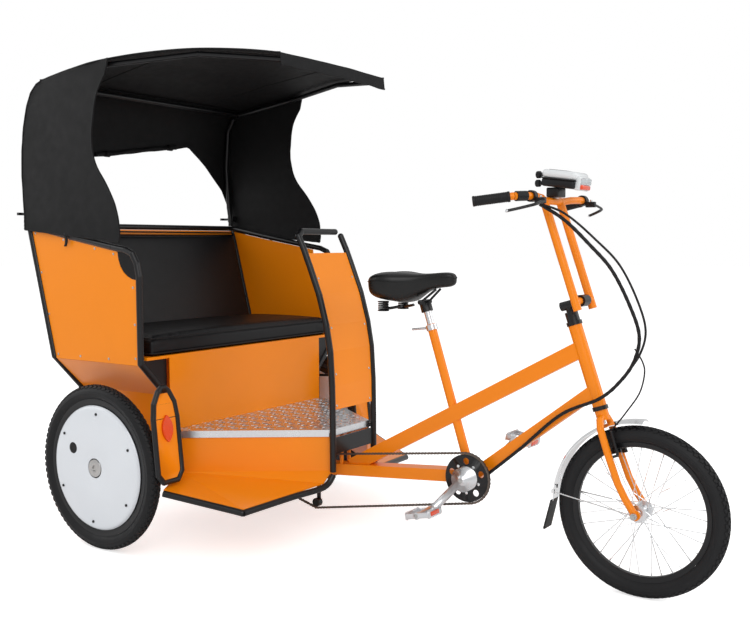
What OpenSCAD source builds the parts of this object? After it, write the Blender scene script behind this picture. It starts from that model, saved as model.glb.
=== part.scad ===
// Cycle rickshaw: one steered front wheel, a rider's saddle, and a two-seat
// cabin with a fabric canopy over the two rear wheels.
// Millimetres. X runs forward, Y to the left and Z up from the ground.
// Every x below is counted forward from the rear axle; from_axle() then puts
// the origin at the middle of the whole vehicle, on the ground.

/* [Wheels] */
// Rear axle to front axle
wheelbase = 1696; // [1560:1:1960]
// Radius of a rear wheel over its tyre
rear_r = 286; // [262:1:300]
// Radius of the front wheel over its tyre
front_r = 257; // [236:1:290]
// Width of a tyre
tyre_w = 54; // [44:1:60]
// Centre plane of a rear wheel, from the middle
rear_track = 589; // [585:1:680]
// Radius of the white cover on a rear wheel
cover_r = 216; // [190:1:218]

/* [Steering] */
// Lean of the steering axis from upright, in degrees
head_lean = 18.8; // [15:0.1:21]
// Length of the head tube
head_len = 254; // [210:1:300]
// Front axle ahead of the steering axis
fork_offset = 27; // [20:1:40]
// Front axle to the head tube's lower end, along the steering axis
fork_len = 330; // [325:1:400]
// Radius of the handlebar tube
bar_r = 12.7; // [11:0.1:14]
// Half the distance between the two handlebar risers
riser_y = 60; // [45:1:75]

/* [Frame] */
// Crank axle ahead of the rear axle
crank_x = 1137; // [1080:1:1250]
// Height of the crank axle
crank_z = 291; // [270:1:320]
// Length of a crank arm
crank_len = 150; // [130:1:170]
// Width of the lower beam
beam_w = 60; // [40:1:70]
// Depth of the lower beam
beam_h = 40; // [30:1:50]
// Depth of the top tube
top_tube_h = 50; // [36:1:56]
// Height of the saddle's top
saddle_z = 958; // [900:1:1020]

/* [Cabin] */
// Half width of the cabin at its side rails
body_y = 540; // [490:1:552]
// Half width of the lower body between the wheels
low_y = 425; // [380:1:440]
// Front face of the seat, ahead of the rear axle
seat_x = 170; // [140:1:200]
// Height of the seat cushion's top
seat_z = 750; // [700:1:800]
// Height of the floor plate's top
deck_z = 406; // [390:1:430]
// Front edge of the floor plate
deck_x = 640; // [600:1:700]
// Radius of the cabin's edge tubes
edge_r = 11; // [8:0.5:14]
// Thickness of the side panels
panel_t = 4; // [2:0.5:8]
// Height of the back rail
rail_z = 1122; // [1050:1:1200]

/* [Canopy] */
// Height of the canopy's side edges
roof_z = 1650; // [1560:1:1800]
// Rise of the roof's middle above its side edges
roof_crown = 34; // [10:1:80]
// Half width of the canopy
roof_y = 524; // [480:1:530]
// Front edge of the roof
roof_x = 584; // [480:1:640]
// Thickness of the canopy cloth with its lining
cloth_t = 4; // [3:0.5:6]

/* [Hidden] */
$fn = 48;
fit = 0.3;                                // gap between pieces that seat on each other
run = 0.05;                               // running clearance of a shaft in its bore
sheet_t = 3;                              // steel sheet of the lower body
overhang = 474;                           // rear axle to the knobs behind the cabin
rear_axle_x = -(wheelbase + front_r - overhang) / 2;
rear_axle_z = rear_r;

// Steering axis: the head tube's lower end and the front axle in its own frame
head_x = wheelbase - fork_offset * cos(head_lean) - fork_len * sin(head_lean);
head_z = front_r + fork_len * cos(head_lean) - fork_offset * sin(head_lean);
head_r = 21;
steerer_r = 16;
cup_h = 12;
function on_axis(along, ahead = 0) = [
    head_x - along * sin(head_lean) + ahead * cos(head_lean), 0,
    head_z + along * cos(head_lean) + ahead * sin(head_lean)];

// Handlebar: the risers run parallel to the steering axis
stem_along = 318;                         // stem clamp, along the steering axis
stem_ahead = 47;                          // and ahead of it
riser_low = -28;                          // riser ends, from the stem clamp
riser_top = 318;
grip_len = 128;
grip_r = 15.5;

// Frame
bb_r = 21;
spindle_r = 8;
beam_low_x = 560;
beam_z = 242;
post_r = 12.5;
seat_tube_r = 15;
seat_tube_lean = 17.6;
seat_tube_len = 514;
chain_y = -50;
ring_r = 82;
sprocket_r = 42;
idler_r = 20;
chain_w = 7;
chain_h = 8;

// Cabin: side profile of the edge tubes as [x, z]
fold_z = 640;                             // where the side walls turn inward
low_top_z = 525;                          // foot of the sloping walls
low_z = 304;                              // lower edge of the panels between the wheels
back_low_x = -296;                        // rear wall at the fold
post_x = seat_x - edge_r - 1;             // front posts
rear_post = [[-420, rail_z], [back_low_x, fold_z + 8]];
back_lean = atan2(back_low_x + 420, rail_z - fold_z - 8);
rail_top_z = rear_axle_z + 44;            // top of the rails under the cabin
arm_rail = [[-420, rail_z], [-227, rail_z - 36], [30, rail_z - 80], [92, rail_z - 90],
    [128, rail_z - 104], [148, rail_z - 136], [post_x, rail_z - 180], [post_x, fold_z + 8]];
cut_r = 95;                               // cut-out under the bend of the arm rail
pad_t = 34;                               // thickness of the backrest

// Wheel guards: the flat outline stands just ahead of each rear wheel
guard_x = 306;
guard_low_z = 262;
guard_top_z = 590;
guard_w = 122;
guard_lean = 6;
guard_r = 9;
guard_y = 552;

// Steps beside the floor plate
deck_t = 3;
deck_fold = 24;
deck_back_y = 418;
deck_side_x = 212;
deck_front_y = 112;
skirt_low_z = 262;

// Shield between the rider and the passengers, as [x, z] up one side
shield_y = 124;
shield_r = 11;
shield_line = [[652, 262], [652, 420], [650, 560], [643, 680], [627, 770], [598, 872],
    [560, 965], [532, 1030], [508, 1078]];
front_sheet_z = 322;                      // black sheet between the tubes, above the chain
shield_low_z = 477;
shield_top_z = 1018;

// Canopy hoops and cloth
hoop_r = 9;
canopy_post_x = -330;
// Rear line of the canopy, as [x, z] down from the roof
rear_line = [[-334, roof_z - 10], [-380, roof_z - 22], [-406, roof_z - 46], [-428, roof_z - 90],
    [-444, roof_z - 170], [-450, 1400], [-449, 1300], [-440, 1215], [-430, 1160]];

// ---------- helpers ----------

// Puts what is counted from the rear axle into the vehicle's own frame
module from_axle() { translate([rear_axle_x, 0, 0]) children(); }

// Puts what is counted up the steering axis into its place
module on_steering_axis() {
    translate([head_x, 0, head_z]) rotate([0, -head_lean, 0]) children();
}

module mirrored_y() { mirror([0, 1, 0]) children(); }

// Rod between two points
module rod(a, b, r) {
    d = b - a;
    length = norm(d);
    translate(a) rotate([0, acos(d[2] / length), atan2(d[1], d[0])]) cylinder(r = r, h = length);
}

// Bent tube through a list of points, with a ball at each bend
module tube(points, r) {
    for (i = [1 : len(points) - 1]) rod(points[i - 1], points[i], r);
    if (len(points) > 2) for (i = [1 : len(points) - 2]) translate(points[i]) sphere(r = r * 1.02);
}

// Box bar from a to b, both [x, z], in the middle plane
module bar(a, b, w, h) {
    d = b - a;
    translate([a[0], 0, a[1]]) rotate([0, -atan2(d[1], d[0]), 0])
        translate([0, -w / 2, -h / 2]) cube([norm(d), w, h]);
}

// Flat outline given as [x, z], standing across y
module wall_xz(points, y, t) {
    translate([0, y + t / 2, 0]) rotate([90, 0, 0]) linear_extrude(t) polygon(points);
}

// Axle-like cylinder along y
module shaft(x, z, y0, y1, r) {
    translate([x, y0, z]) rotate([-90, 0, 0]) cylinder(r = r, h = y1 - y0);
}

// Side profile points [x, z] placed at a given y
function at_y(points, y) = [for (p = points) [p[0], y, p[1]]];

// Closed sheet of thickness t below (or beside) a convex list of corner points
module sheet(points, shift) {
    n = len(points);
    polyhedron(
        points = concat(points, [for (p = points) p + shift]),
        faces = concat([[for (i = [0 : n - 1]) i]], [[for (i = [n - 1 : -1 : 0]) n + i]],
            [for (i = [0 : n - 1]) [(i + 1) % n, i, n + i, n + (i + 1) % n]]));
}

// Tube swept along a cord's own points: a polyhedron with flat sides
function unit(v) = v / norm(v);
function sweep_dir(p, i) = unit(p[min(i + 1, len(p) - 1)] - p[max(i - 1, 0)]);
function sweep_ring(p, i, r, sides) =
    let (d = sweep_dir(p, i), s = unit(cross(d, [0, 1, 0])), t = cross(d, s))
    [for (k = [0 : sides - 1]) p[i] + r * (cos(360 * k / sides) * s + sin(360 * k / sides) * t)];
module sweep(p, r, sides) {
    n = len(p);
    polyhedron(
        points = [for (i = [0 : n - 1]) each sweep_ring(p, i, r, sides)],
        faces = concat([[for (k = [0 : sides - 1]) k]],
            [[for (k = [sides - 1 : -1 : 0]) (n - 1) * sides + k]],
            [for (i = [0 : n - 2]) for (k = [0 : sides - 1])
                let (a = i * sides + k, b = i * sides + (k + 1) % sides)
                [a, a + sides, b + sides, b]]));
}
// Catmull-Rom points between chosen points, for smooth sweeps
function smooth(p, steps) = [for (i = [0 : len(p) - 2]) each
    let (a = p[max(i - 1, 0)], b = p[i], c = p[i + 1], d = p[min(i + 2, len(p) - 1)])
    [for (k = [0 : i == len(p) - 2 ? steps : steps - 1]) let (u = k / steps)
        0.5 * (2 * b + (c - a) * u + (2 * a - 5 * b + 4 * c - d) * u * u
            + (3 * b - a - 3 * c + d) * u * u * u)]];

// Cloth between two grids: rows of points on the outer face and the same rows inside
module cloth(outer, inner) {
    m = len(outer);
    n = len(outer[0]);
    at = function (layer, i, j) layer * m * n + i * n + j;
    polyhedron(
        points = concat([for (row = outer) each row], [for (row = inner) each row]),
        faces = concat(
            [for (i = [0 : m - 2]) for (j = [0 : n - 2])
                [at(0, i, j), at(0, i, j + 1), at(0, i + 1, j + 1), at(0, i + 1, j)]],
            [for (i = [0 : m - 2]) for (j = [0 : n - 2])
                [at(1, i + 1, j), at(1, i + 1, j + 1), at(1, i, j + 1), at(1, i, j)]],
            [for (i = [0 : m - 2]) [at(0, i + 1, 0), at(1, i + 1, 0), at(1, i, 0), at(0, i, 0)]],
            [for (i = [0 : m - 2])
                [at(0, i, n - 1), at(1, i, n - 1), at(1, i + 1, n - 1), at(0, i + 1, n - 1)]],
            [for (j = [0 : n - 2]) [at(0, 0, j), at(1, 0, j), at(1, 0, j + 1), at(0, 0, j + 1)]],
            [for (j = [0 : n - 2])
                [at(0, m - 1, j + 1), at(1, m - 1, j + 1), at(1, m - 1, j), at(0, m - 1, j)]]));
}

// ---------- frame ----------

crank_c = [crank_x, crank_z];
seat_top = [crank_x - 10 - seat_tube_len * sin(seat_tube_lean),
    crank_z + seat_tube_len * cos(seat_tube_lean)];
module seat_tube_axis() {
    translate([crank_x - 10, 0, crank_z]) rotate([0, -seat_tube_lean, 0]) children();
}

module main_frame() {
    upper = on_axis(head_len - 74);
    lower = on_axis(48);
    half = beam_h / 2;
    beam_side = [[back_low_x + 8, beam_z - half], [beam_low_x, beam_z - half],
        [crank_x, crank_z - half], [crank_x, crank_z + half], [beam_low_x, beam_z + half],
        [back_low_x + 8, beam_z + half]];
    color("darkorange") from_axle() difference() {
        union() {
            on_steering_axis() cylinder(r = head_r, h = head_len);
            bar([beam_low_x + 90, beam_z + 20], [upper[0], upper[2]], 32, top_tube_h);
            bar([crank_x - 4, crank_z - 4], [lower[0], lower[2]], 36, 38);
            wall_xz(beam_side, 0, beam_w);
            seat_tube_axis() cylinder(r = seat_tube_r, h = seat_tube_len);
            shaft(crank_x, crank_z, -36, 36, bb_r);
            // Uprights that carry the floor plate
            for (side = [-1, 1]) translate([deck_x - 26, side * 22, beam_z])
                cylinder(r = 7, h = deck_z - deck_t - fit - beam_z);
        }
        on_steering_axis() translate([0, 0, -20]) cylinder(r = steerer_r + run, h = head_len + 40);
        seat_tube_axis() translate([0, 0, seat_tube_len - 130]) cylinder(r = post_r + 0.1, h = 200);
        shaft(crank_x, crank_z, -60, 60, spindle_r + run);
    }
}

module headset() {
    color("black") from_axle() on_steering_axis() for (z = [-cup_h - fit, head_len + fit])
        translate([0, 0, z]) difference() {
            cylinder(r = head_r + 3, h = cup_h);
            translate([0, 0, -1]) cylinder(r = steerer_r + run, h = cup_h + 2);
        }
}

// Ladder under the cabin, with the two blocks that hold the rear axle
module rear_frame() {
    rail_w = 30;
    rail_y = low_y - sheet_t - fit - rail_w;
    cross_z = beam_z + beam_h / 2 + fit;
    rail_low = rail_top_z - rail_w;
    front_x = seat_x - 4;
    length = front_x - back_low_x - sheet_t;
    color("darkorange") from_axle() difference() {
        union() {
            for (side = [-1, 1]) {
                translate([back_low_x + sheet_t, side < 0 ? -rail_y - rail_w : rail_y, rail_low])
                    cube([length, rail_w, rail_w]);
                translate([-28, side < 0 ? -rail_y - rail_w : rail_y, cross_z])
                    cube([56, rail_w, rail_low - cross_z + 5]);
            }
            for (x = [back_low_x + sheet_t, front_x - 36])
                translate([x, -rail_y - 5, cross_z]) cube([36, 2 * rail_y + 10, rail_low - cross_z + 8]);
        }
        shaft(0, rear_axle_z, -low_y - 20, low_y + 20, 10 + run);
    }
}

module seat_post() {
    out = 64 / cos(20);
    color("silver") from_axle() {
        seat_tube_axis() {
            translate([0, 0, seat_tube_len - 90]) cylinder(r = post_r, h = 90 + out);
            translate([0, 0, seat_tube_len - 20]) difference() {
                cylinder(r = seat_tube_r + 4, h = 18);
                translate([0, 0, -1]) cylinder(r = seat_tube_r + fit, h = 20);
            }
        }
        clamp = seat_top + [-19 * cos(seat_tube_lean), -19 * sin(seat_tube_lean)];
        rod([clamp[0] + 6, 9, clamp[1] - 8], [clamp[0] - 62, 12, clamp[1] - 16], 4);
    }
}

module saddle() {
    // Stations from the tail to the nose: [x, half width, top z, bottom z]
    stations = [[724, 82, -38, -88], [760, 116, -6, -100], [830, 112, -1, -98],
        [900, 66, -2, -72], [970, 34, -4, -52], [1040, 23, -8, -48], [1068, 16, -22, -42]];
    shift = crank_x - 1137;
    color("black") from_axle() cloth_stack(stations, shift);
}

// Loft through rounded six-sided stations
module cloth_stack(stations, shift) {
    ring = function (s) let (x = s[0] + shift, w = s[1], t = saddle_z + s[2], b = saddle_z + s[3])
        [[x, -w, b], [x, -w, t - 18], [x, -w * 0.6, t], [x, w * 0.6, t], [x, w, t - 18], [x, w, b]];
    n = 6;
    m = len(stations);
    polyhedron(
        points = [for (s = stations) each ring(s)],
        faces = concat([[for (k = [0 : n - 1]) k]], [[for (k = [n - 1 : -1 : 0]) (m - 1) * n + k]],
            [for (i = [0 : m - 2]) for (k = [0 : n - 1])
                let (a = i * n + k, b = i * n + (k + 1) % n) [b, a, a + n, b + n]]));
}

module saddle_springs() {
    top = saddle_z - 100 - fit;
    shift = crank_x - 1137;
    pivot = [seat_top[0] - 78 * sin(seat_tube_lean), seat_top[1] + 78 * cos(seat_tube_lean)];
    color("black") from_axle() {
        for (side = [-1, 1]) {
            translate([790 + shift, side * 62, top - 46]) cylinder(r = 20, h = 46);
            rod([790 + shift, side * 50, top - 34], [pivot[0], side * 26, pivot[1]], 5);
            rod([pivot[0], side * 26, pivot[1]], [1000 + shift, side * 14, saddle_z - 59], 4);
        }
        // Clamp on the seat post
        seat_tube_axis() translate([0, 0, seat_tube_len + 44]) difference() {
            cylinder(r = 20, h = 34);
            translate([0, 0, -1]) cylinder(r = post_r + fit, h = 25.5);
        }
        shaft(pivot[0], pivot[1], -34, 34, 8);
    }
}

// ---------- running gear ----------

module rear_axle() {
    color("dimgray") from_axle() {
        shaft(0, rear_axle_z, -rear_track - 22, rear_track + 22, 10);
        shaft(0, rear_axle_z, chain_y - 2, chain_y + 2, sprocket_r - chain_h / 2 - fit);
        shaft(0, rear_axle_z, 62, 160, 56);
        for (side = [-1, 1])
            shaft(0, rear_axle_z, side * (rear_track + 18) - 5, side * (rear_track + 18) + 5, 16);
    }
}

// The chain's wheels in the order that it meets them: [x, z, pitch radius, turn]
chain_wheels = [[crank_x, crank_z, ring_r, -1], [522, 119, idler_r, -1],
    [0, rear_axle_z, sprocket_r, -1], [575, 322, idler_r, 1]];
function run_angle(a, b) = let (d = [b[0] - a[0], b[1] - a[1]])
    atan2(d[1], d[0]) - asin((b[3] * b[2] - a[3] * a[2]) / norm(d));
// Closed outline of the chain, d outside its middle line
function chain_outline(d) = [for (i = [0 : len(chain_wheels) - 1])
    let (n = len(chain_wheels), w = chain_wheels[i], r = w[2] - w[3] * d,
        t0 = run_angle(chain_wheels[(i + n - 1) % n], w), t1 = run_angle(w, chain_wheels[(i + 1) % n]),
        turn = w[3] < 0 ? -((t0 - t1 + 720) % 360) : (t1 - t0 + 720) % 360, steps = ceil(abs(turn) / 6))
    each [for (k = [0 : steps]) let (t = t0 + turn * k / steps)
        [w[0] + w[3] * r * sin(t), w[1] - w[3] * r * cos(t)]]];

module chain() {
    color("dimgray") from_axle() translate([0, chain_y + chain_w / 2, 0]) rotate([90, 0, 0])
        linear_extrude(chain_w) difference() {
            polygon(chain_outline(chain_h / 2));
            polygon(chain_outline(-chain_h / 2));
        }
}

// Two jockey wheels and the brackets that carry them
module chain_guide() {
    low = chain_wheels[1];
    high = chain_wheels[3];
    r = idler_r - chain_h / 2 - fit;
    inner = chain_y + 8;
    rise = (crank_z - beam_z) / (crank_x - beam_low_x);
    foot = beam_z + beam_h / 2 + fit + rise * (high[0] + 12 - beam_low_x);
    color("black") from_axle() {
        for (w = [low, high]) shaft(w[0], w[1], chain_y - 6, inner + 6, r);
        translate([low[0] - 7, inner + 2, low[1]]) cube([14, 6, beam_z - beam_h / 2 - low[1] - fit]);
        translate([low[0] - 12, inner + 2, beam_z - beam_h / 2 - fit - 5])
            cube([24, 24, 5]);
        translate([high[0] - 7, inner + 2, foot]) cube([14, 6, high[1] - foot]);
        translate([high[0] - 12, inner + 2, foot]) cube([24, 24, 5]);
    }
}

// Everything on a rear wheel is turned about +y, outward on both sides
module on_rear_wheel(side) {
    translate([0, side * rear_track, rear_axle_z]) mirror([0, side < 0 ? 1 : 0, 0])
        rotate([-90, 0, 0]) rotate_extrude($fn = 96) children();
}

rim_out = rear_r - tyre_w + 6;
module rear_tyre(side) {
    color("black") from_axle() on_rear_wheel(side) difference() {
        translate([rear_r - tyre_w / 2, 0]) circle(r = tyre_w / 2, $fn = 40);
        translate([0, -tyre_w]) square([rim_out + fit, 2 * tyre_w]);
    }
}

// Rim, hub and both covers, as a section in [radius, y] from the centre plane
module rear_wheel(side) {
    cover_y = tyre_w / 2 - 4;
    color("white") from_axle() on_rear_wheel(side) union() {
        translate([rim_out - 30, -14]) square([30, 28]);
        translate([34, cover_y]) square([cover_r - 34, 3]);
        translate([28, -cover_y - 3]) square([cover_r - 28, 3]);
        translate([cover_r - 8, -cover_y - 1]) square([8, 2 * cover_y + 2]);
        translate([10 + run, -cover_y - 1]) square([20, cover_y + 13]);
    }
}

module front_tyre() {
    color("black") from_axle() translate([wheelbase, 0, front_r]) rotate([90, 0, 0])
        rotate_extrude($fn = 96) difference() {
            translate([front_r - tyre_w / 2, 0]) circle(r = tyre_w / 2, $fn = 40);
            translate([0, -tyre_w]) square([front_r - tyre_w + 6 + fit, 2 * tyre_w]);
        }
}

module front_rim() {
    spokes = 36;
    rim_r = front_r - tyre_w + 6;
    flange_y = 30;
    color("silver") from_axle() translate([wheelbase, 0, front_r]) {
        rotate([90, 0, 0]) rotate_extrude($fn = 96) difference() {
            translate([rim_r - 16, -14]) square([16, 28]);
            translate([rim_r - 5, -9]) square([6, 18]);
        }
        difference() {
            union() {
                shaft(0, 0, -38, 38, 14);
                for (side = [-1, 1]) shaft(0, 0, side * flange_y - 2, side * flange_y + 2, 26);
            }
            shaft(0, 0, -50, 50, 5 + run);
        }
        for (i = [0 : spokes - 1]) {
            side = i % 2 == 0 ? 1 : -1;
            a = 360 * i / spokes;
            lead = i % 4 < 2 ? 40 : -40;
            rod([22 * cos(a + lead), side * flange_y, 22 * sin(a + lead)],
                [(rim_r - 14) * cos(a), side * 3, (rim_r - 14) * sin(a)], 1.1);
        }
    }
}

module crankset() {
    arm_y = 84;
    foot = function (turn) [crank_x + crank_len * cos(turn), crank_z + crank_len * sin(turn)];
    color("silver") from_axle() difference() {
        union() {
            shaft(crank_x, crank_z, -arm_y - 8, arm_y + 8, spindle_r);
            shaft(crank_x, crank_z, chain_y - 2, chain_y + 2, ring_r - chain_h / 2 - fit);
            shaft(crank_x, crank_z, -arm_y + 2, chain_y, 39);
            for (side = [-1, 1]) {
                end = foot(side < 0 ? crank_turn : crank_turn + 180);
                translate([0, side * arm_y, 0]) bar(crank_c, end, 14, 24);
                shaft(crank_x, crank_z, side * arm_y - 10, side * arm_y + 10, 19);
                shaft(end[0], end[1], side * arm_y - 9, side * arm_y + 9, 14);
            }
        }
        for (turn = [crank_turn, crank_turn + 180])
            shaft(foot(turn)[0], foot(turn)[1], -120, 120, 7 + run);
        for (k = [0 : 4])
            shaft(crank_x + 56 * cos(72 * k + 20), crank_z + 56 * sin(72 * k + 20), -60, -40, 11);
    }
}
crank_turn = 226;

// Cage pedal on its spindle, which turns in the end of the crank arm
module pedal(side) {
    turn = side < 0 ? crank_turn : crank_turn + 180;
    x = crank_x + crank_len * cos(turn);
    z = crank_z + crank_len * sin(turn);
    y0 = 76;
    y1 = 196;
    tilt = side < 0 ? -12 : 12;
    color("silver") from_axle() mirror([0, side < 0 ? 1 : 0, 0]) {
        shaft(x, z, y0, y1, 7);
        translate([x, 0, z]) rotate([0, tilt, 0]) difference() {
            translate([-44, 104, -13]) cube([88, 88, 26]);
            for (s = [-1, 1]) translate([s * 25 - 14, 112, -20]) cube([28, 72, 40]);
        }
    }
}

// ---------- cabin ----------

module body_tubes() {
    foot_z = rail_top_z + fit;
    gusset = [[body_y - 4, fold_z + 4], [body_y - 4, seat_board_z - fit],
        [low_y, seat_board_z - fit], [low_y, low_top_z]];
    color("black") from_axle() {
        for (side = [-1, 1]) {
            tube(concat(at_y(rear_post, side * body_y),
                [[back_low_x, side * low_y, low_top_z], [back_low_x, side * low_y, foot_z]]), edge_r);
            tube(concat(at_y(arm_rail, side * body_y),
                [[post_x, side * low_y, low_top_z], [post_x, side * low_y, foot_z]]), edge_r);
            translate([rear_post[0][0], side * body_y, rail_z]) sphere(r = edge_r * 1.02);
            // Black gusset between the front post and the end of the seat
            translate([post_x - 1.5, 0, 0]) rotate([90, 0, 90]) linear_extrude(3)
                polygon([for (p = gusset) [side * p[0], p[1]]]);
        }
        rod([rear_post[0][0], -body_y, rail_z], [rear_post[0][0], body_y, rail_z], edge_r);
    }
}

// Panels stand this far inside the middle line of the tubes round them
inset = edge_r + fit;
function rail_at(x) = lookup(x, [for (i = [0 : 5]) arm_rail[i]]);
module side_panel(side) {
    front = post_x - inset;
    edge = inset / cos(back_lean);
    cut_z = rail_at(front - cut_r) - inset - 2;
    top = [for (x = [-227, 30, front - cut_r]) [x, rail_at(x) - inset - 1]];
    arc = [for (a = [195 : 15 : 270]) [front + cut_r * cos(a), cut_z + cut_r * sin(a)]];
    outline = concat([[rear_post[0][0] + edge + 4, rail_z - inset - 4]], top, arc,
        [[front, fold_z + 1], [back_low_x + edge, fold_z + 1],
            [back_low_x + edge, fold_z + 8]]);
    color("darkorange") from_axle() wall_xz(outline, side * body_y, panel_t);
}

// Sloping wall and the upright wall between the wheels, bent from one sheet
module lower_side(side) {
    x0 = back_low_x + inset;
    x1 = post_x - inset;
    section = [[body_y, fold_z], [low_y, low_top_z], [low_y, low_z],
        [low_y - sheet_t, low_z], [low_y - sheet_t, low_top_z + 1.2], [body_y - sheet_t, fold_z]];
    color("darkorange") from_axle() translate([x0, 0, 0]) rotate([90, 0, 90])
        linear_extrude(x1 - x0) polygon([for (p = section) [side * p[0], p[1]]]);
}

module back_panel() {
    start = fold_z + 8;
    height = (rail_z - start) / cos(back_lean) - inset - 1;
    upper_y = body_y - inset - 0.5;
    lower_y = low_y - inset;
    // The slope of the side walls, moved in by the tube's radius
    run_y = body_y - low_y;
    run_z = start - low_top_z;
    out = inset * norm([run_y, run_z]) / run_y + 1;
    foot = low_top_z + out - inset * run_z / run_y;
    lower = [[upper_y, start + out - inset * run_z / run_y], [lower_y, foot], [lower_y, low_z]];
    color("darkorange") from_axle() {
        translate([back_low_x, -upper_y, start]) rotate([0, -back_lean, 0])
            translate([-sheet_t / 2, 0, 6]) cube([sheet_t, 2 * upper_y, height - 6]);
        translate([back_low_x - sheet_t / 2, 0, 0]) rotate([90, 0, 90]) linear_extrude(sheet_t)
            polygon(concat(lower, [for (i = [2 : -1 : 0]) [-lower[i][0], lower[i][1]]]));
    }
}

seat_board_z = seat_z - 92;
function back_at(z) = back_low_x - (z - fold_z - 8) * tan(back_lean);
module seat_base() {
    front = post_x + edge_r + fit;
    side_y = body_y - panel_t / 2 - fit;
    color("darkorange") from_axle() {
        translate([front, -low_y + 3, deck_z - deck_fold])
            cube([2.4, 2 * low_y - 6, seat_board_z + 2 - deck_z + deck_fold]);
        translate([back_low_x + 20, -side_y, seat_board_z])
            cube([post_x - inset - back_low_x - 20, 2 * side_y, 10]);
        translate([post_x - inset - 2, -body_y + 16, seat_board_z])
            cube([front + 2.4 - post_x + inset + 2, 2 * body_y - 32, 10]);
    }
}

module seat_cushion() {
    low = seat_board_z + 10 + fit;
    back = back_at(low) + (sheet_t / 2 + fit + pad_t) / cos(back_lean) + 1;
    color("black") from_axle()
        rounded_box([back, -body_y + 34, low], [seat_x + 4, body_y - 34, seat_z], 14);
}

module backrest() {
    low = seat_board_z + 10 + 4;
    start = (low - fold_z - 8) / cos(back_lean);
    color("black") from_axle()
        translate([back_low_x, -body_y + edge_r + 1, fold_z + 8]) rotate([0, -back_lean, 0])
            translate([sheet_t / 2 + fit, 0, start])
                cube([pad_t, 2 * (body_y - edge_r - 1), (rail_z - low) / cos(back_lean) - edge_r - 12]);
}

// Box with its long edges rounded, along y
module rounded_box(a, b, r) {
    translate([0, b[1], 0]) rotate([90, 0, 0]) linear_extrude(b[1] - a[1])
        translate([a[0], a[2]]) union() {
            translate([r, 0]) square([b[0] - a[0] - 2 * r, b[2] - a[2]]);
            translate([0, r]) square([b[0] - a[0], b[2] - a[2] - 2 * r]);
            for (x = [r, b[0] - a[0] - r]) for (z = [r, b[2] - a[2] - r])
                translate([x, z]) circle(r = r, $fn = 32);
        }
}

deck_outline = [[seat_x + 2, -deck_back_y], [deck_side_x, -deck_back_y], [deck_x, -deck_front_y],
    [deck_x, deck_front_y], [deck_side_x, deck_back_y], [seat_x + 2, deck_back_y]];
module floor_plate() {
    color("silver") from_axle() difference() {
        translate([0, 0, deck_z - deck_fold]) linear_extrude(deck_fold) polygon(deck_outline);
        translate([0, 0, deck_z - deck_fold - 1]) linear_extrude(deck_fold + 1 - deck_t)
            polygon([[seat_x - 1, -deck_back_y + deck_t], [deck_side_x - 1, -deck_back_y + deck_t],
                [deck_x - deck_t, -deck_front_y + 2], [deck_x - deck_t, deck_front_y - 2],
                [deck_side_x - 1, deck_back_y - deck_t], [seat_x - 1, deck_back_y - deck_t]]);
    }
}

// Corners of a step's tread on the right, counted outward from the fold
step_back = [315, 596, 253];
step_apex = [560, 484, 200];
step_front = [638, 160, 228];
module step(side) {
    fold_a = [deck_side_x - 2, deck_back_y - deck_t - fit, skirt_low_z];
    fold_b = [deck_x - deck_t - 2, deck_front_y - 2 - fit, skirt_low_z];
    up = [0, 0, deck_z - deck_t - fit - skirt_low_z];
    fan = [step_back, step_apex, step_front, fold_b];
    color("darkorange") from_axle() mirror([0, side < 0 ? 1 : 0, 0]) union() {
        sheet([fold_a, fold_a + up, fold_b + up, fold_b], [-1.6, -2, 0]);
        for (k = [0 : 2]) sheet([fold_a, fold_b == fan[k + 1] ? fold_b : fan[k + 1], fan[k]],
            [0, 0, -sheet_t]);
    }
}

module step_rails() {
    drop = [0, 0, edge_r + sheet_t + 1];
    route = [step_back - drop, step_apex + [4, 6, 0] - drop, step_front + [12, 14, 0] - drop,
        [652, shield_y, shield_line[0][1] - 1.02 * edge_r - 0.4]];
    color("black") from_axle() for (side = [-1, 1]) {
        tube([for (p = route) [p[0], side * p[1], p[2]]], edge_r);
        translate([route[3][0], side * route[3][1], route[3][2]]) sphere(r = edge_r * 1.02);
    }
}

module shield_tube() {
    top = shield_line[len(shield_line) - 1];
    color("black") from_axle() {
        for (side = [-1, 1]) {
            tube(at_y(shield_line, side * shield_y), shield_r);
            translate([top[0], side * shield_y, top[1]]) sphere(r = shield_r * 1.02);
            // Lug on the front fold of the floor plate
            translate([deck_x + fit, side * shield_y - 12 + side * -6, deck_z - 22])
                cube([12, 24, 14]);
        }
        tube([[top[0], -shield_y, top[1]], [top[0] - 8, -shield_y + 26, top[1] + 16],
            [top[0] - 8, shield_y - 26, top[1] + 16], [top[0], shield_y, top[1]]], shield_r);
        translate([650.5, -shield_y, front_sheet_z])
            cube([sheet_t, 2 * shield_y, deck_z - deck_fold - 2 - front_sheet_z]);
    }
}

// Thin curved sheet between the shield's tubes
module shield_panel() {
    line = [for (p = shield_line) if (p[1] > 500 && p[1] < shield_top_z) p];
    full = concat([[651, shield_low_z]], line, [[538, shield_top_z]]);
    t = 3;
    outline = concat([for (p = full) [p[0] - t / 2, p[1]]],
        [for (i = [len(full) - 1 : -1 : 0]) [full[i][0] + t / 2, full[i][1]]]);
    color("darkorange") from_axle()
        wall_xz(outline, 0, 2 * (shield_y - shield_r - fit) - 1);
}

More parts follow.
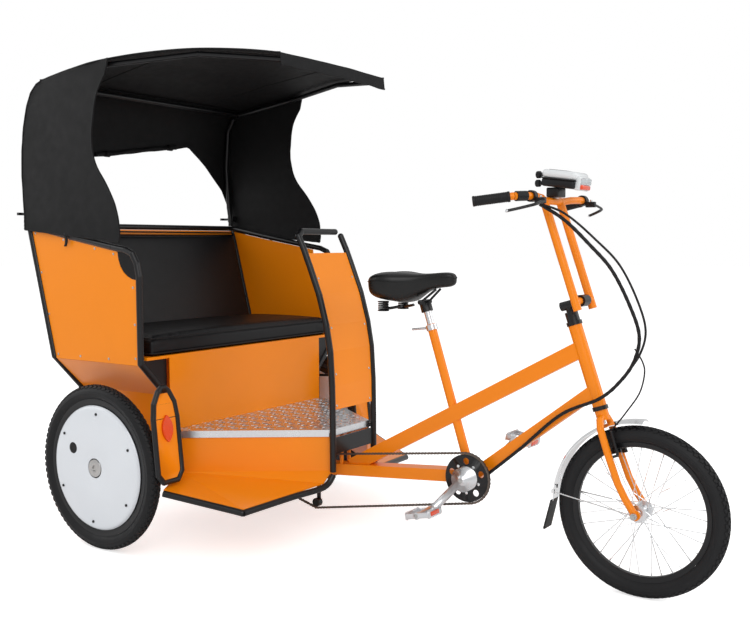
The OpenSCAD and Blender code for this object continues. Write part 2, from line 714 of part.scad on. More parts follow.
// Outline of a wheel guard in its own plane, as [y, z] from its lower middle
guard_h = guard_top_z - guard_low_z;
module guard_place(side) {
    translate([guard_x, side * guard_y, guard_low_z]) rotate([0, -guard_lean, 0]) children();
}
guard_half = guard_w / 2 - guard_r;
guard_loop = [[0, -guard_half * 0.6, guard_r], [0, -guard_half, 36], [0, -guard_half, guard_h - 110],
    [0, -guard_half * 0.86, guard_h - 60], [0, -guard_half * 0.45, guard_h - 22],
    [0, -guard_half * 0.15, guard_h - guard_r], [0, guard_half * 0.15, guard_h - guard_r],
    [0, guard_half * 0.45, guard_h - 22],
    [0, guard_half * 0.86, guard_h - 60], [0, guard_half, guard_h - 110], [0, guard_half, 36],
    [0, guard_half * 0.6, guard_r], [0, -guard_half * 0.6, guard_r]];
module wheel_guard(side) {
    color("darkorange") from_axle() union() {
        guard_place(side) {
            tube(guard_loop, guard_r);
            translate([0, -guard_half * 0.6, guard_r]) sphere(r = guard_r * 1.02);
            translate([-1.5, 0, 0]) rotate([90, 0, 90]) linear_extrude(3)
                polygon([for (p = guard_loop) [p[1] * 0.97, guard_h / 2 + (p[2] - guard_h / 2) * 0.985]]);
        }
        // Two stays from the inner tube to the front post
        for (z = [370, 500]) {
            from = [guard_x - (z - guard_low_z) * tan(guard_lean), side * (guard_y - guard_half), z];
            to = [post_x, side * low_y, z];
            rod(from, to - (edge_r + fit + 0.2) * unit(to - from), 5.5);
        }
    }
}

module reflectors() {
    color("orangered") from_axle() for (side = [-1, 1]) guard_place(side)
        translate([1.5 + fit, 0, guard_h * 0.56]) rotate([0, 90, 0]) intersection() {
                translate([0, 34, 0]) cylinder(r = 56, h = 8);
                translate([0, -34, 0]) cylinder(r = 56, h = 8);
            }
}

// ---------- canopy ----------

// Roof stations from back to front: [x, half width, side edge z, middle z]
roof_stations = [for (p = [[-334, 0, -4, 0], [-200, 0, 16, 0.6], [-20, 0, 31, 1], [150, 54, 45, 1],
    [300, 112, 49, 0.8], [450, 172, 40, 0.5], [roof_x - 6, 222, 24, 0.1]])
    [p[0], roof_y - p[1], roof_z + p[2], roof_z + p[2] + 2 + roof_crown * p[3]]];
function roof_row(s, down) = [for (k = [-8 : 8]) let (u = k / 8)
    [s[0], s[1] * u, s[2] + (s[3] - s[2]) * (1 - u * u) - down]];
function side_y(z) = roof_y + fit
    + (body_y + edge_r + 0.6 - roof_y) * min(1, max(0, (roof_z - z) / (roof_z - rail_z - 20)));
// The same line moved inward by d
function inward(p, d) = [for (i = [0 : len(p) - 1])
    let (v = unit(p[min(i + 1, len(p) - 1)] - p[max(i - 1, 0)])) p[i] + d * [-v[1], v[0]]];
function back_x(z) = lookup(z, [for (i = [len(rear_line) - 1 : -1 : 0]) [rear_line[i][1], rear_line[i][0]]]);

module canopy_frame() {
    r = hoop_r;
    gap = cloth_t + r + 2;
    front = roof_stations[len(roof_stations) - 1];
    hang = cloth_t + r + 6;
    inner = inward(rear_line, gap);
    post = concat([[-334, roof_y - 24, roof_z - 6 - hang]],
        [for (i = [1, 3, 5, 7, 8]) [inner[i][0], min(side_y(inner[i][1]), body_y) - 14, inner[i][1]]],
        [[rear_post[0][0] + 4, body_y - 14, rail_z + edge_r + fit]]);
    rail = concat([[-334, roof_y - 24, roof_z - 6 - hang]],
        [for (i = [2, 4, 6]) let (s = roof_stations[i]) [min(s[0], roof_x - 22), s[1] - 24, s[2] - hang + (i < 6 ? 4 : 0)]]);
    color("black") from_axle() {
        for (side = [-1, 1]) {
            tube([for (p = post) [p[0], side * p[1], p[2]]], r);
            tube([for (p = rail) [p[0], side * p[1], p[2]]], r);
            translate([-334, side * (roof_y - 24), roof_z - 6 - hang]) sphere(r = r * 1.03);
            translate([roof_x - 22, side * (front[1] - 24), front[2] - hang]) sphere(r = r * 1.03);
            // Clamp block and its wing knob
            translate([-432, side * (body_y - 2) - 11, rail_z + edge_r + 18]) cube([30, 22, 26]);
            rod([-430, side * (body_y - 2), rail_z + edge_r + 31], [-464, side * (body_y - 2), rail_z + edge_r + 31], 5);
            translate([-474, side * (body_y - 2) - 17, rail_z + edge_r + 26]) cube([12, 34, 10]);
        }
        for (s = [[-334, roof_y - 24, roof_z - 6 - hang], [roof_x - 22, front[1] - 24, front[2] - hang]])
            rod([s[0], -s[1], s[2]], [s[0], s[1], s[2]], r);
    }
}

module canopy_roof() {
    front = roof_stations[len(roof_stations) - 1];
    valance = function (x) [for (s = [0 : 1]) [for (k = [-8 : 8]) let (u = k / 8)
        [x, front[1] * u, s == 0 ? roof_row(front, 1)[k + 8][2] : front[2] - 40]]];
    color("black") from_axle() {
        cloth([for (s = roof_stations) roof_row(s, 0)], [for (s = roof_stations) roof_row(s, cloth_t)]);
        cloth(valance(roof_x), valance(roof_x - 8));
    }
}

// Side curtain rows from the top down: [z, front x]
curtain_rows = [[roof_z, 10], [1570, -45], [1480, -65], [1410, -68], [1330, -45], [1240, 25],
    [1165, 68], [1095, 82], [1058, 78]];
function edge_z(x) = lookup(x, [for (s = roof_stations) [s[0], s[2]]]);
module canopy_side(side) {
    rows = function (more) [for (c = curtain_rows) let (x0 = back_x(min(c[0], roof_z - 12)))
        [for (k = [0 : 6]) let (x = x0 + (c[1] - x0) * k / 6) [x, side_y(c[0]) + more,
            c[0] > roof_z - 1 ? edge_z(x) - 1 : c[0] > 1150 ? c[0] : c[0] + (6 - k) * 8]]];
    color("black") from_axle() mirror([0, side < 0 ? 1 : 0, 0]) cloth(rows(0), rows(cloth_t));
}

// Back of the canopy: its lower edge as [share of the half width, z], round the rear window
back_hem = [[-1, 1188], [-0.97, 1240], [-0.93, 1300], [-0.75, 1370], [-0.56, 1440], [-0.4, 1398],
    [-0.2, 1412], [0, 1430], [0.2, 1446], [0.4, 1460], [0.55, 1476], [0.75, 1400], [0.93, 1300],
    [0.97, 1240], [1, 1188]];
module canopy_back() {
    top = [for (i = [0 : 4]) rear_line[i] - [2, 0.5]];
    line = function (hem, more) concat(inward(top, more), [for (t = [1 : 4])
        let (z = top[4][1] + (hem - top[4][1]) * t / 4) [back_x(z) + more - (t < 4 ? 1 : 0), z]]);
    rows = function (more) [for (i = [0 : 8]) [for (h = back_hem) let (p = line(h[1], more)[i])
        [p[0], h[0] * (side_y(p[1]) - fit), p[1]]]];
    color("black") from_axle() cloth(rows(cloth_t), rows(0));
}

// ---------- cables ----------

bundle_route = [[1408.5, -100, 1166], [1482, -88, 1118], [1553, -68, 1045], [1613, -48, 972],
    [1663, -34, 870], [1691, -28, 783], [1680, -32, 710], [1643, -38, 649], [1580, -44, 590],
    [1452, -32, 527], [1316, -30, 405], [1205, -34, 310]];
module cable_bundle() {
    color("black") from_axle() sweep(smooth(bundle_route, 4), 6, 8);
}

// ---------- steering ----------

module fork() {
    color("darkorange") from_axle() on_steering_axis() {
        difference() {
            union() {
                translate([0, 0, -44]) cylinder(r = steerer_r, h = head_len + 44 + cup_h + 26);
                translate([0, 0, -44]) cylinder(r = 20, h = 44 - cup_h - 2 * fit);
                for (side = [-1, 1]) {
                    tube([[0, 0, -30], [0, side * 30, -40], [0, side * 46, -64],
                        [0, side * 48, -140], [3, side * 49, -230], [12, side * 50, -280],
                        [fork_offset, side * 51, -fork_len]], 11);
                    translate([fork_offset, side * 51 - 4, -fork_len]) rotate([-90, 0, 0])
                        cylinder(r = 15, h = 8);
                }
            }
            translate([fork_offset, -80, -fork_len]) rotate([-90, 0, 0]) cylinder(r = 5 + run, h = 160);
        }
    }
}

module front_axle() {
    color("silver") from_axle() {
        shaft(wheelbase, front_r, -74, 74, 5);
        for (side = [-1, 1]) shaft(wheelbase, front_r, side * 67 - 4, side * 67 + 4, 10);
    }
}

stem_clamp = on_axis(stem_along, stem_ahead);
clamp_r = 18;
module stem() {
    base = head_len + cup_h + 2 * fit;
    quill = on_axis(stem_along - 4, 0);
    color("black") from_axle() difference() {
        union() {
            on_steering_axis() translate([0, 0, base]) difference() {
                cylinder(r = 20, h = 30);
                translate([0, 0, -1]) cylinder(r = steerer_r + fit, h = 27.3);
            }
            rod(on_axis(base + 26), quill, 13);
            rod(quill - [26, 0, 3], stem_clamp - [0, 0, 2], 14);
            shaft(stem_clamp[0], stem_clamp[2], -24, 24, clamp_r);
        }
        shaft(stem_clamp[0], stem_clamp[2], -40, 40, cross_r + fit);
    }
}

// Half of the handlebar's top, from the riser out to the end of the grip
cross_r = 11;
bar_top = on_axis(stem_along + riser_top, stem_ahead);
bar_half = [for (p = [[0, riser_y, 0], [14, 110, 6], [22, 160, 8], [18, 215, 8], [-8, 256, 6], [-104, 312, -8]])
    [bar_top[0] + p[0], p[1], bar_top[2] + p[2]]];
module handlebar() {
    low = on_axis(stem_along + riser_low, stem_ahead);
    color("darkorange") from_axle() {
        for (side = [-1, 1]) {
            rod([low[0], side * riser_y, low[2]], [bar_top[0], side * riser_y, bar_top[2]], bar_r);
            tube([for (p = bar_half) [p[0], side * p[1], p[2]]], cross_r);
            translate([bar_top[0], side * riser_y, bar_top[2]]) sphere(r = bar_r * 1.02);
        }
        rod([stem_clamp[0], -riser_y, stem_clamp[2]], [stem_clamp[0], riser_y, stem_clamp[2]], cross_r);
        rod([bar_top[0], -riser_y, bar_top[2]], [bar_top[0], riser_y, bar_top[2]], cross_r);
    }
}

// Point on the last stretch of the bar, counted back from its end
bar_end = bar_half[len(bar_half) - 1];
bar_back = unit(bar_half[len(bar_half) - 2] - bar_end);
module grips() {
    long = norm(bar_half[len(bar_half) - 2] - bar_end) - 8;
    color("black") from_axle() for (side = [0, 1]) mirror([0, side, 0]) {
        difference() {
            rod(bar_end - 3 * bar_back, bar_end + min(grip_len, long) * bar_back, grip_r);
            rod(bar_end - fit * bar_back, bar_end + (grip_len + 4) * bar_back, cross_r + fit);
        }
    }
}

// Brake lever: a clamp on the bar beside the grip, a pivot block and the blade
module brake_levers() {
    at = bar_half[3];
    color("silver") from_axle() for (side = [0, 1]) mirror([0, side, 0]) {
        difference() {
            shaft(at[0] + 1.8, at[2], at[1] - 34, at[1] - 14, 17);
            shaft(at[0] + 1.8, at[2], at[1] - 60, at[1] + 10, cross_r + 1.1);
        }
        translate([at[0] + 14, at[1] - 32, at[2] - 22]) cube([32, 16, 18]);
        tube([[at[0] + 40, at[1] - 24, at[2] - 14], [at[0] + 42, at[1] + 40, at[2] - 26],
            [at[0] - 22, at[1] + 92, at[2] - 46]], 5);
    }
}

// Lamp and instrument housing on a bracket above the bar
lamp = [bar_top[0] + 44, 0, bar_top[2] + 62];
module headlamp() {
    color("white") from_axle() {
        translate(lamp) rotate([0, 8, 0]) {
            translate([-62, -52, -24]) cube([112, 104, 52]);
            translate([50, -38, -26]) cube([20, 76, 42]);
        }
        translate([bar_top[0] - 8, -30, bar_top[2] + cross_r + fit]) cube([40, 60, 30]);
        for (p = [[-78, -40, 18], [-80, -40, -8]]) translate(lamp + p) rotate([0, 90, 0]) cylinder(r = 11, h = 22);
    }
}

// Curved mudguard round the tyre, from [radius, y] outlines
fender_r = 273;
module front_fender() {
    t = 2;
    w = 31;
    color("silver") from_axle() translate([wheelbase, 0, front_r]) {
        rotate([90, 0, 0]) rotate([0, 0, 88]) rotate_extrude(angle = 92, $fn = 96)
            polygon([[fender_r - 8, -w], [fender_r, -w / 2], [fender_r, w / 2], [fender_r - 8, w],
                [fender_r - 5.6, w], [fender_r + t, w / 2], [fender_r + t, -w / 2],
                [fender_r - 5.6, -w]]);
        for (side = [-1, 1]) {
            translate([-fender_r + 2, side * 33 - 3, 24]) cube([10, 6, 12]);
            rod([-fender_r + 7, side * 34, 30], [-14, side * 57.6, 1], 2);
        }
    }
    // Bolt under the fork crown
    color("silver") from_axle() on_steering_axis() translate([0, 0, -58]) cylinder(r = 6, h = 13.7);
}

module mud_flap() {
    end = [wheelbase - fender_r - 1, front_r];
    color("black") from_axle() wall_xz([[end[0] - 3, end[1] - fit], [end[0] + 1, end[1] - fit],
        [end[0] - 22, end[1] - 96], [end[0] - 27, end[1] - 94]], 0, 54);
}

module front_brake() {
    color("black") from_axle() on_steering_axis() for (side = [-1, 1]) {
        rod([24, side * 35.5, -152], [26, side * 36, -78], 4.5);
        rod([24, side * 35, -136], [8, side * 18, -133], 4);
        translate([2, side * 20 - 4, -146]) cube([30, 8, 12]);
        rod([26, side * 36, -152], [10.7, side * 43.3, -152], 4);
    }
}

cable_route = [[1676, -20, 742], [1698, -16, 705], [1704, -14, 670], [1690, -14, 612], [1657, -27, 556], [1634, -36, 522], [1614, -35.2, 498.2]];
module brake_cable() {
    color("black") from_axle() sweep(smooth(cable_route, 4), 2.5, 8);
}

main_frame();
headset();
rear_frame();
seat_post();
saddle();
saddle_springs();
rear_axle();
chain();
chain_guide();
floor_plate();
step(-1);  // step_right
step(1);  // step_left
step_rails();
seat_base();
seat_cushion();
backrest();
back_panel();
side_panel(-1);  // side_panel_right
side_panel(1);  // side_panel_left
lower_side(-1);  // lower_side_right
lower_side(1);  // lower_side_left
body_tubes();
shield_tube();
shield_panel();
wheel_guard(-1);  // wheel_guard_right
wheel_guard(1);  // wheel_guard_left
reflectors();
canopy_frame();
canopy_roof();
canopy_side(-1);  // canopy_side_right
canopy_side(1);  // canopy_side_left
canopy_back();
cable_bundle();
fork();
front_axle();
stem();
handlebar();
grips();
brake_levers();
headlamp();
front_fender();
mud_flap();
front_brake();
brake_cable();
front_tyre();
front_rim();
rear_tyre(-1);  // rear_tyre_right
rear_wheel(-1);  // rear_wheel_right
rear_tyre(1);  // rear_tyre_left
rear_wheel(1);  // rear_wheel_left
crankset();
pedal(-1);  // pedal_right
pedal(1);  // pedal_left
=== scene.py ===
"""Looks of a canopied cycle rickshaw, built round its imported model."""
from __future__ import annotations

import logging
import math
from dataclasses import dataclass, field
from enum import Enum
from typing import Callable, Sequence

import bmesh
import bpy
from mathutils import Matrix, Vector, noise


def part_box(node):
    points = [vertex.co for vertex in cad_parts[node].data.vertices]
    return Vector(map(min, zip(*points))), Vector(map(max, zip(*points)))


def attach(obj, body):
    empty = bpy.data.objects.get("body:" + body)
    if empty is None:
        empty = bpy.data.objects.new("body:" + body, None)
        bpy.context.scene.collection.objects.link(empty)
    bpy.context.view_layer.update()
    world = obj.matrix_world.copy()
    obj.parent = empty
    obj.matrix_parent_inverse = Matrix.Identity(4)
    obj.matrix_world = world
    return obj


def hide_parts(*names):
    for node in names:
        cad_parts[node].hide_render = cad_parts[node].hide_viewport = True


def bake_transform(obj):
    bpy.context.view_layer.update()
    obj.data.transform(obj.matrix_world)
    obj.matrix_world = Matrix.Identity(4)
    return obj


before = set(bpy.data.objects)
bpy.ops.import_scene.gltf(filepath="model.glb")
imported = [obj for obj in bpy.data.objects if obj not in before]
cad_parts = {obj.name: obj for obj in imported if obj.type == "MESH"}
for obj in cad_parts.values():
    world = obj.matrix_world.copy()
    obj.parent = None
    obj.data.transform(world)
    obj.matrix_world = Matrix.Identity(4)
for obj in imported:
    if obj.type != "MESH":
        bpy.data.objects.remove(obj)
log = logging.getLogger("rickshaw")
Profile = Sequence[tuple[float, float]]
AXLE_X = -0.7395
SIDES = (("right", -1), ("left", 1))


def at(x: float, y: float, z: float) -> Vector:
    """Point in metres from millimetres counted forward of the rear axle."""
    return Vector((x / 1000 + AXLE_X, y / 1000, z / 1000))


# ---------- finishes ----------


class Grain(Enum):
    """What a surface does up close."""

    PEEL = "sprayed paint"
    WEAVE = "woven cloth"
    LEATHER = "pressed leather grain"
    BRUSHED = "brushed metal"
    RUBBER = "moulded rubber"
    MOULDED = "moulded plastic"
    PRISM = "reflector prisms"


@dataclass(frozen=True)
class Finish:
    """One paint, metal, cloth or plastic, with its grain and its drift in colour and roughness."""

    name: str
    slot: str
    colour: tuple[float, float, float]
    roughness: float
    grain: Grain
    metallic: float = 0.0
    coat: float = 0.0
    variation: float = 0.06
    depth: float = 1.0
    transmission: float = 0.0
    specular: float = 0.5

    def material(self) -> bpy.types.Material:
        """The Blender material of this finish, made on first use."""
        found = bpy.data.materials.get(self.name)
        return found if found else self._make()

    def _make(self) -> bpy.types.Material:
        """Builds the node tree: colour drift, roughness drift and bump."""
        mat = bpy.data.materials.new(self.name)
        mat.use_nodes = True
        tree = mat.node_tree
        shader = tree.nodes["Principled BSDF"]
        shader.inputs["Metallic"].default_value = self.metallic
        shader.inputs["Coat Weight"].default_value = self.coat
        shader.inputs["Coat Roughness"].default_value = 0.12
        shader.inputs["Transmission Weight"].default_value = self.transmission
        shader.inputs["Specular IOR Level"].default_value = self.specular
        place = tree.nodes.new("ShaderNodeTexCoord").outputs["Object"]
        drift = self._noise(tree, place, 7.0, 5.0)
        mix = tree.nodes.new("ShaderNodeMix")
        mix.data_type = "RGBA"
        low, high = 1 - self.variation, 1 + self.variation
        mix.inputs[6].default_value = (*(min(1.0, c * low) for c in self.colour), 1)
        mix.inputs[7].default_value = (*(min(1.0, c * high) for c in self.colour), 1)
        tree.links.new(drift, mix.inputs[0])
        tree.links.new(mix.outputs[2], shader.inputs["Base Color"])
        rough = tree.nodes.new("ShaderNodeMapRange")
        rough.inputs["To Min"].default_value = max(0.02, self.roughness * 0.85)
        rough.inputs["To Max"].default_value = min(1.0, self.roughness * 1.18)
        tree.links.new(self._noise(tree, place, 31.0, 4.0), rough.inputs["Value"])
        tree.links.new(rough.outputs["Result"], shader.inputs["Roughness"])
        height, strength, distance = self._height(tree, place)
        bump = tree.nodes.new("ShaderNodeBump")
        bump.inputs["Strength"].default_value = min(1.0, strength * self.depth)
        bump.inputs["Distance"].default_value = distance
        tree.links.new(height, bump.inputs["Height"])
        tree.links.new(bump.outputs["Normal"], shader.inputs["Normal"])
        return mat

    @staticmethod
    def _noise(tree: bpy.types.NodeTree, place: bpy.types.NodeSocket, scale: float,
               detail: float) -> bpy.types.NodeSocket:
        """A noise value over the object's own coordinates."""
        node = tree.nodes.new("ShaderNodeTexNoise")
        node.inputs["Scale"].default_value = scale
        node.inputs["Detail"].default_value = detail
        tree.links.new(place, node.inputs["Vector"])
        return node.outputs["Fac"]

    def _height(self, tree: bpy.types.NodeTree,
                place: bpy.types.NodeSocket) -> tuple[bpy.types.NodeSocket, float, float]:
        """Height socket, bump strength and bump distance of the grain."""
        if self.grain is Grain.WEAVE:
            uv = tree.nodes.new("ShaderNodeUVMap").outputs["UV"]
            waves = []
            for axis in ("X", "Y"):
                wave = tree.nodes.new("ShaderNodeTexWave")
                wave.bands_direction = axis
                wave.inputs["Scale"].default_value = 190.0
                wave.inputs["Distortion"].default_value = 0.4
                tree.links.new(uv, wave.inputs["Vector"])
                waves.append(wave.outputs["Fac"])
            top = tree.nodes.new("ShaderNodeMath")
            top.operation = "MAXIMUM"
            tree.links.new(waves[0], top.inputs[0])
            tree.links.new(waves[1], top.inputs[1])
            creases = self._noise(tree, place, 9.0, 3.0)
            add = tree.nodes.new("ShaderNodeMath")
            add.operation = "MULTIPLY_ADD"
            add.inputs[1].default_value = 6.0
            tree.links.new(creases, add.inputs[0])
            tree.links.new(top.outputs[0], add.inputs[2])
            return add.outputs[0], 0.35, 0.0007
        if self.grain in (Grain.LEATHER, Grain.PRISM):
            cells = tree.nodes.new("ShaderNodeTexVoronoi")
            cells.inputs["Scale"].default_value = 420.0 if self.grain is Grain.LEATHER else 190.0
            tree.links.new(place, cells.inputs["Vector"])
            depth = 0.0004 if self.grain is Grain.LEATHER else 0.002
            return cells.outputs["Distance"], 0.35, depth
        if self.grain is Grain.BRUSHED:
            stretch = tree.nodes.new("ShaderNodeMapping")
            stretch.inputs["Scale"].default_value = (30.0, 900.0, 900.0)
            tree.links.new(place, stretch.inputs["Vector"])
            return self._noise(tree, stretch.outputs["Vector"], 1.0, 3.0), 0.16, 0.0003
        scale = {Grain.PEEL: 260.0, Grain.RUBBER: 420.0, Grain.MOULDED: 700.0}[self.grain]
        strength = {Grain.PEEL: 0.08, Grain.RUBBER: 0.35, Grain.MOULDED: 0.15}[self.grain]
        return self._noise(tree, place, scale, 3.0), strength, 0.0004


ORANGE_TUBE = Finish("orange_tube_paint", "orange_paint", (0.93, 0.245, 0.002), 0.34, Grain.PEEL,
                     coat=0.1, variation=0.04, specular=0.3)
ORANGE_PANEL = Finish("orange_panel_paint", "orange_gloss", (0.95, 0.265, 0.002), 0.3, Grain.PEEL,
                      coat=0.12, variation=0.03, specular=0.3)
BLACK_TUBE = Finish("black_tube_paint", "black_paint", (0.006, 0.006, 0.007), 0.34, Grain.PEEL,
                    coat=0.1, specular=0.35)
CANOPY_CLOTH = Finish("black_canopy_cloth", "black_cloth", (0.0045, 0.0045, 0.005), 0.62,
                      Grain.WEAVE, variation=0.25, specular=0.22)
SEAT_VINYL = Finish("black_seat_vinyl", "black_vinyl", (0.005, 0.005, 0.006), 0.42, Grain.LEATHER,
                    variation=0.2, specular=0.25)
SADDLE_SKIN = Finish("black_saddle_skin", "saddle_cover", (0.006, 0.006, 0.006), 0.36,
                     Grain.LEATHER, variation=0.25, specular=0.35)
ALUMINIUM = Finish("satin_aluminium", "aluminium", (0.74, 0.75, 0.77), 0.28, Grain.BRUSHED,
                   metallic=1.0, variation=0.05)
CHROME = Finish("bright_chrome", "chrome", (0.86, 0.87, 0.88), 0.1, Grain.BRUSHED, metallic=1.0,
                variation=0.02, depth=0.3)
STEEL = Finish("zinc_steel", "steel", (0.52, 0.51, 0.5), 0.34, Grain.BRUSHED, metallic=1.0,
               variation=0.12)
CHAIN_STEEL = Finish("oiled_chain_steel", "dark_steel", (0.16, 0.13, 0.11), 0.42, Grain.BRUSHED,
                     metallic=1.0, variation=0.3)
SOFT_RUBBER = Finish("black_soft_rubber", "black_rubber", (0.007, 0.007, 0.008), 0.5,
                     Grain.RUBBER, variation=0.15, specular=0.3)
TYRE_RUBBER = Finish("black_tyre_rubber", "tyre_rubber", (0.007, 0.007, 0.008), 0.55,
                     Grain.RUBBER, variation=0.2, specular=0.3)
WHITE_COVER = Finish("white_wheel_cover", "white_cover", (0.74, 0.77, 0.81), 0.24, Grain.MOULDED,
                     coat=0.3, variation=0.03)
WHITE_CASE = Finish("white_case_plastic", "white_plastic", (0.74, 0.76, 0.77), 0.25,
                    Grain.MOULDED, coat=0.3, variation=0.03)
BLACK_PLASTIC = Finish("black_case_plastic", "white_plastic", (0.007, 0.007, 0.008), 0.36,
                       Grain.MOULDED, variation=0.2, specular=0.35)
CLEAR_LENS = Finish("clear_lens_plastic", "white_plastic", (0.85, 0.9, 0.92), 0.06,
                    Grain.MOULDED, transmission=0.85, variation=0.01, depth=0.2)
AMBER_LENS = Finish("amber_lens_plastic", "amber_plastic", (0.8, 0.06, 0.004), 0.16,
                    Grain.PRISM, coat=0.6, variation=0.12)

CAD_FINISH = {
    "main_frame": ORANGE_TUBE, "headset": BLACK_TUBE, "rear_frame": ORANGE_TUBE,
    "seat_post": ALUMINIUM, "rear_axle": STEEL, "chain_guide": BLACK_TUBE,
    "floor_plate": ALUMINIUM, "step_right": ORANGE_PANEL, "step_left": ORANGE_PANEL,
    "seat_base": ORANGE_PANEL, "back_panel": ORANGE_PANEL,
    "side_panel_right": ORANGE_PANEL, "side_panel_left": ORANGE_PANEL,
    "lower_side_right": ORANGE_PANEL, "lower_side_left": ORANGE_PANEL,
    "body_tubes": BLACK_TUBE, "shield_tube": BLACK_TUBE, "shield_panel": ORANGE_PANEL,
    "reflectors": AMBER_LENS, "canopy_frame": BLACK_TUBE, "fork": ORANGE_TUBE,
    "front_axle": STEEL, "stem": BLACK_TUBE, "handlebar": ORANGE_TUBE,
    "front_fender": CHROME, "mud_flap": SOFT_RUBBER, "front_brake": BLACK_TUBE,
}


# ---------- mesh helpers ----------


def build(name: str, verts: Sequence[Vector], faces: Sequence[Sequence[int]], finish: Finish,
          angle: float = 40.0, uv: Sequence[tuple[float, float]] | None = None,
          outward: bool = True) -> bpy.types.Object:
    """Makes a mesh object at the origin.

    Args:
        name: name of the piece.
        verts: points in metres in the shared frame.
        faces: corner numbers of each face.
        finish: its material.
        angle: edges bent more than this many degrees stay sharp.
        uv: one pair for each point.
        outward: whether the faces are turned to point outward.

    Returns:
        The new object, linked to the scene.
    """
    mesh = bpy.data.meshes.new(name)
    mesh.from_pydata([tuple(v) for v in verts], [], [tuple(f) for f in faces])
    if uv is not None:
        layer = mesh.uv_layers.new(name="UVMap")
        for loop in mesh.loops:
            layer.data[loop.index].uv = uv[loop.vertex_index]
    if outward:
        work = bmesh.new()
        work.from_mesh(mesh)
        bmesh.ops.recalc_face_normals(work, faces=work.faces)
        work.to_mesh(mesh)
        work.free()
    mesh.shade_smooth()
    mesh.set_sharp_from_angle(angle=math.radians(angle))
    mesh.materials.append(finish.material())
    piece = bpy.data.objects.new(name, mesh)
    bpy.context.collection.objects.link(piece)
    return piece


def joined(name: str, parts: Sequence[bpy.types.Object]) -> bpy.types.Object:
    """Joins finished pieces into one object, keeping their materials."""
    bpy.ops.object.select_all(action="DESELECT")
    for part in parts:
        part.select_set(True)
    bpy.context.view_layer.objects.active = parts[0]
    if len(parts) > 1:
        bpy.ops.object.join()
    piece = bpy.context.view_layer.objects.active
    piece.name = piece.data.name = name
    return piece


def finished(piece: bpy.types.Object, body: str, *nodes: str) -> bpy.types.Object:
    """Puts a piece on its body, and takes the place of the nodes named."""
    if nodes:
        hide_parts(*nodes)
    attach(piece, body)
    log.info("%s: %d faces, on %s", piece.name, len(piece.data.polygons), body)
    return piece


def applied(piece: bpy.types.Object) -> bpy.types.Object:
    """Turns a piece with modifiers into a plain mesh in place."""
    depsgraph = bpy.context.evaluated_depsgraph_get()
    depsgraph.update()
    mesh = bpy.data.meshes.new_from_object(piece.evaluated_get(depsgraph), depsgraph=depsgraph)
    piece.modifiers.clear()
    piece.data = mesh
    return piece


def smooth_line(points: Sequence[Vector], steps: int = 6, closed: bool = False) -> list[Vector]:
    """A Catmull-Rom line through the points."""
    n = len(points)
    out: list[Vector] = []
    for i in range(n if closed else n - 1):
        if closed:
            a, b, c, d = (points[(i + k - 1) % n] for k in range(4))
        else:
            a, b, c, d = (points[min(n - 1, max(0, i + k - 1))] for k in range(4))
        for s in range(steps):
            t = s / steps
            out.append(0.5 * ((2 * b) + (c - a) * t + (2 * a - 5 * b + 4 * c - d) * t * t
                              + (3 * b - 3 * c + d - a) * t ** 3))
    if not closed:
        out.append(points[-1].copy())
    return out


def swept(name: str, line: Sequence[Vector], radius: float | Callable[[float, float], float],
          finish: Finish, sides: int = 12, closed: bool = False) -> bpy.types.Object:
    """A round tube along a line.

    Args:
        name: name of the piece.
        line: points of its middle line.
        radius: its radius, or a function of the share along it and the angle.
        finish: its material.
        sides: corners of its section.
        closed: whether the line ends where it starts.

    Returns:
        The tube, with closed ends unless the line is a loop.
    """
    n = len(line)
    length = [0.0]
    for a, b in zip(line, line[1:]):
        length.append(length[-1] + (b - a).length)
    verts, faces, uv = [], [], []
    normal = None
    for i in range(n):
        if closed:
            way = line[(i + 1) % n] - line[i - 1]
        else:
            way = line[min(i + 1, n - 1)] - line[max(i - 1, 0)]
        way.normalize()
        if normal is None:
            normal = way.orthogonal().normalized()
        normal = (normal - way * normal.dot(way)).normalized()
        other = way.cross(normal)
        for k in range(sides):
            a = 2 * math.pi * k / sides
            share = length[i] / max(1e-9, length[-1])
            r = radius(share, a) if callable(radius) else radius
            verts.append(line[i] + r * (math.cos(a) * normal + math.sin(a) * other))
            uv.append((k / sides * 0.1, length[i]))
    for i in range(n if closed else n - 1):
        for k in range(sides):
            j, m = (i + 1) % n, (k + 1) % sides
            faces.append((i * sides + k, i * sides + m, j * sides + m, j * sides + k))
    if not closed:
        faces.append(tuple(range(sides - 1, -1, -1)))
        faces.append(tuple((n - 1) * sides + k for k in range(sides)))
    return build(name, verts, faces, finish, 50, uv)


def turned(name: str, profile: Profile, centre: Vector, finish: Finish, segments: int = 96,
           axis: Vector = Vector((0, 1, 0)), closed: bool = True,
           angle: float = 35.0) -> bpy.types.Object:
    """A closed profile of (radius, along) pairs in millimetres, turned about an axis."""
    axis = axis.normalized()
    side = axis.orthogonal().normalized()
    up = axis.cross(side)
    m = len(profile)
    verts, faces = [], []
    for i in range(segments):
        a = 2 * math.pi * i / segments
        spoke = math.cos(a) * side + math.sin(a) * up
        verts.extend(centre + spoke * (r / 1000) + axis * (y / 1000) for r, y in profile)
    for i in range(segments):
        j = (i + 1) % segments
        for k in range(m if closed else m - 1):
            n = (k + 1) % m
            faces.append((i * m + k, i * m + n, j * m + n, j * m + k))
    piece = build(name, verts, faces, finish, angle, outward=False)
    tidy_mesh(piece.data)
    piece.data.set_sharp_from_angle(angle=math.radians(angle))
    return piece


def tidy_mesh(mesh: bpy.types.Mesh) -> None:
    """Merges doubled points and turns every face outward."""
    work = bmesh.new()
    work.from_mesh(mesh)
    bmesh.ops.remove_doubles(work, verts=work.verts, dist=1e-6)
    bmesh.ops.dissolve_degenerate(work, edges=work.edges, dist=1e-7)
    bmesh.ops.recalc_face_normals(work, faces=work.faces)
    work.to_mesh(mesh)
    work.free()


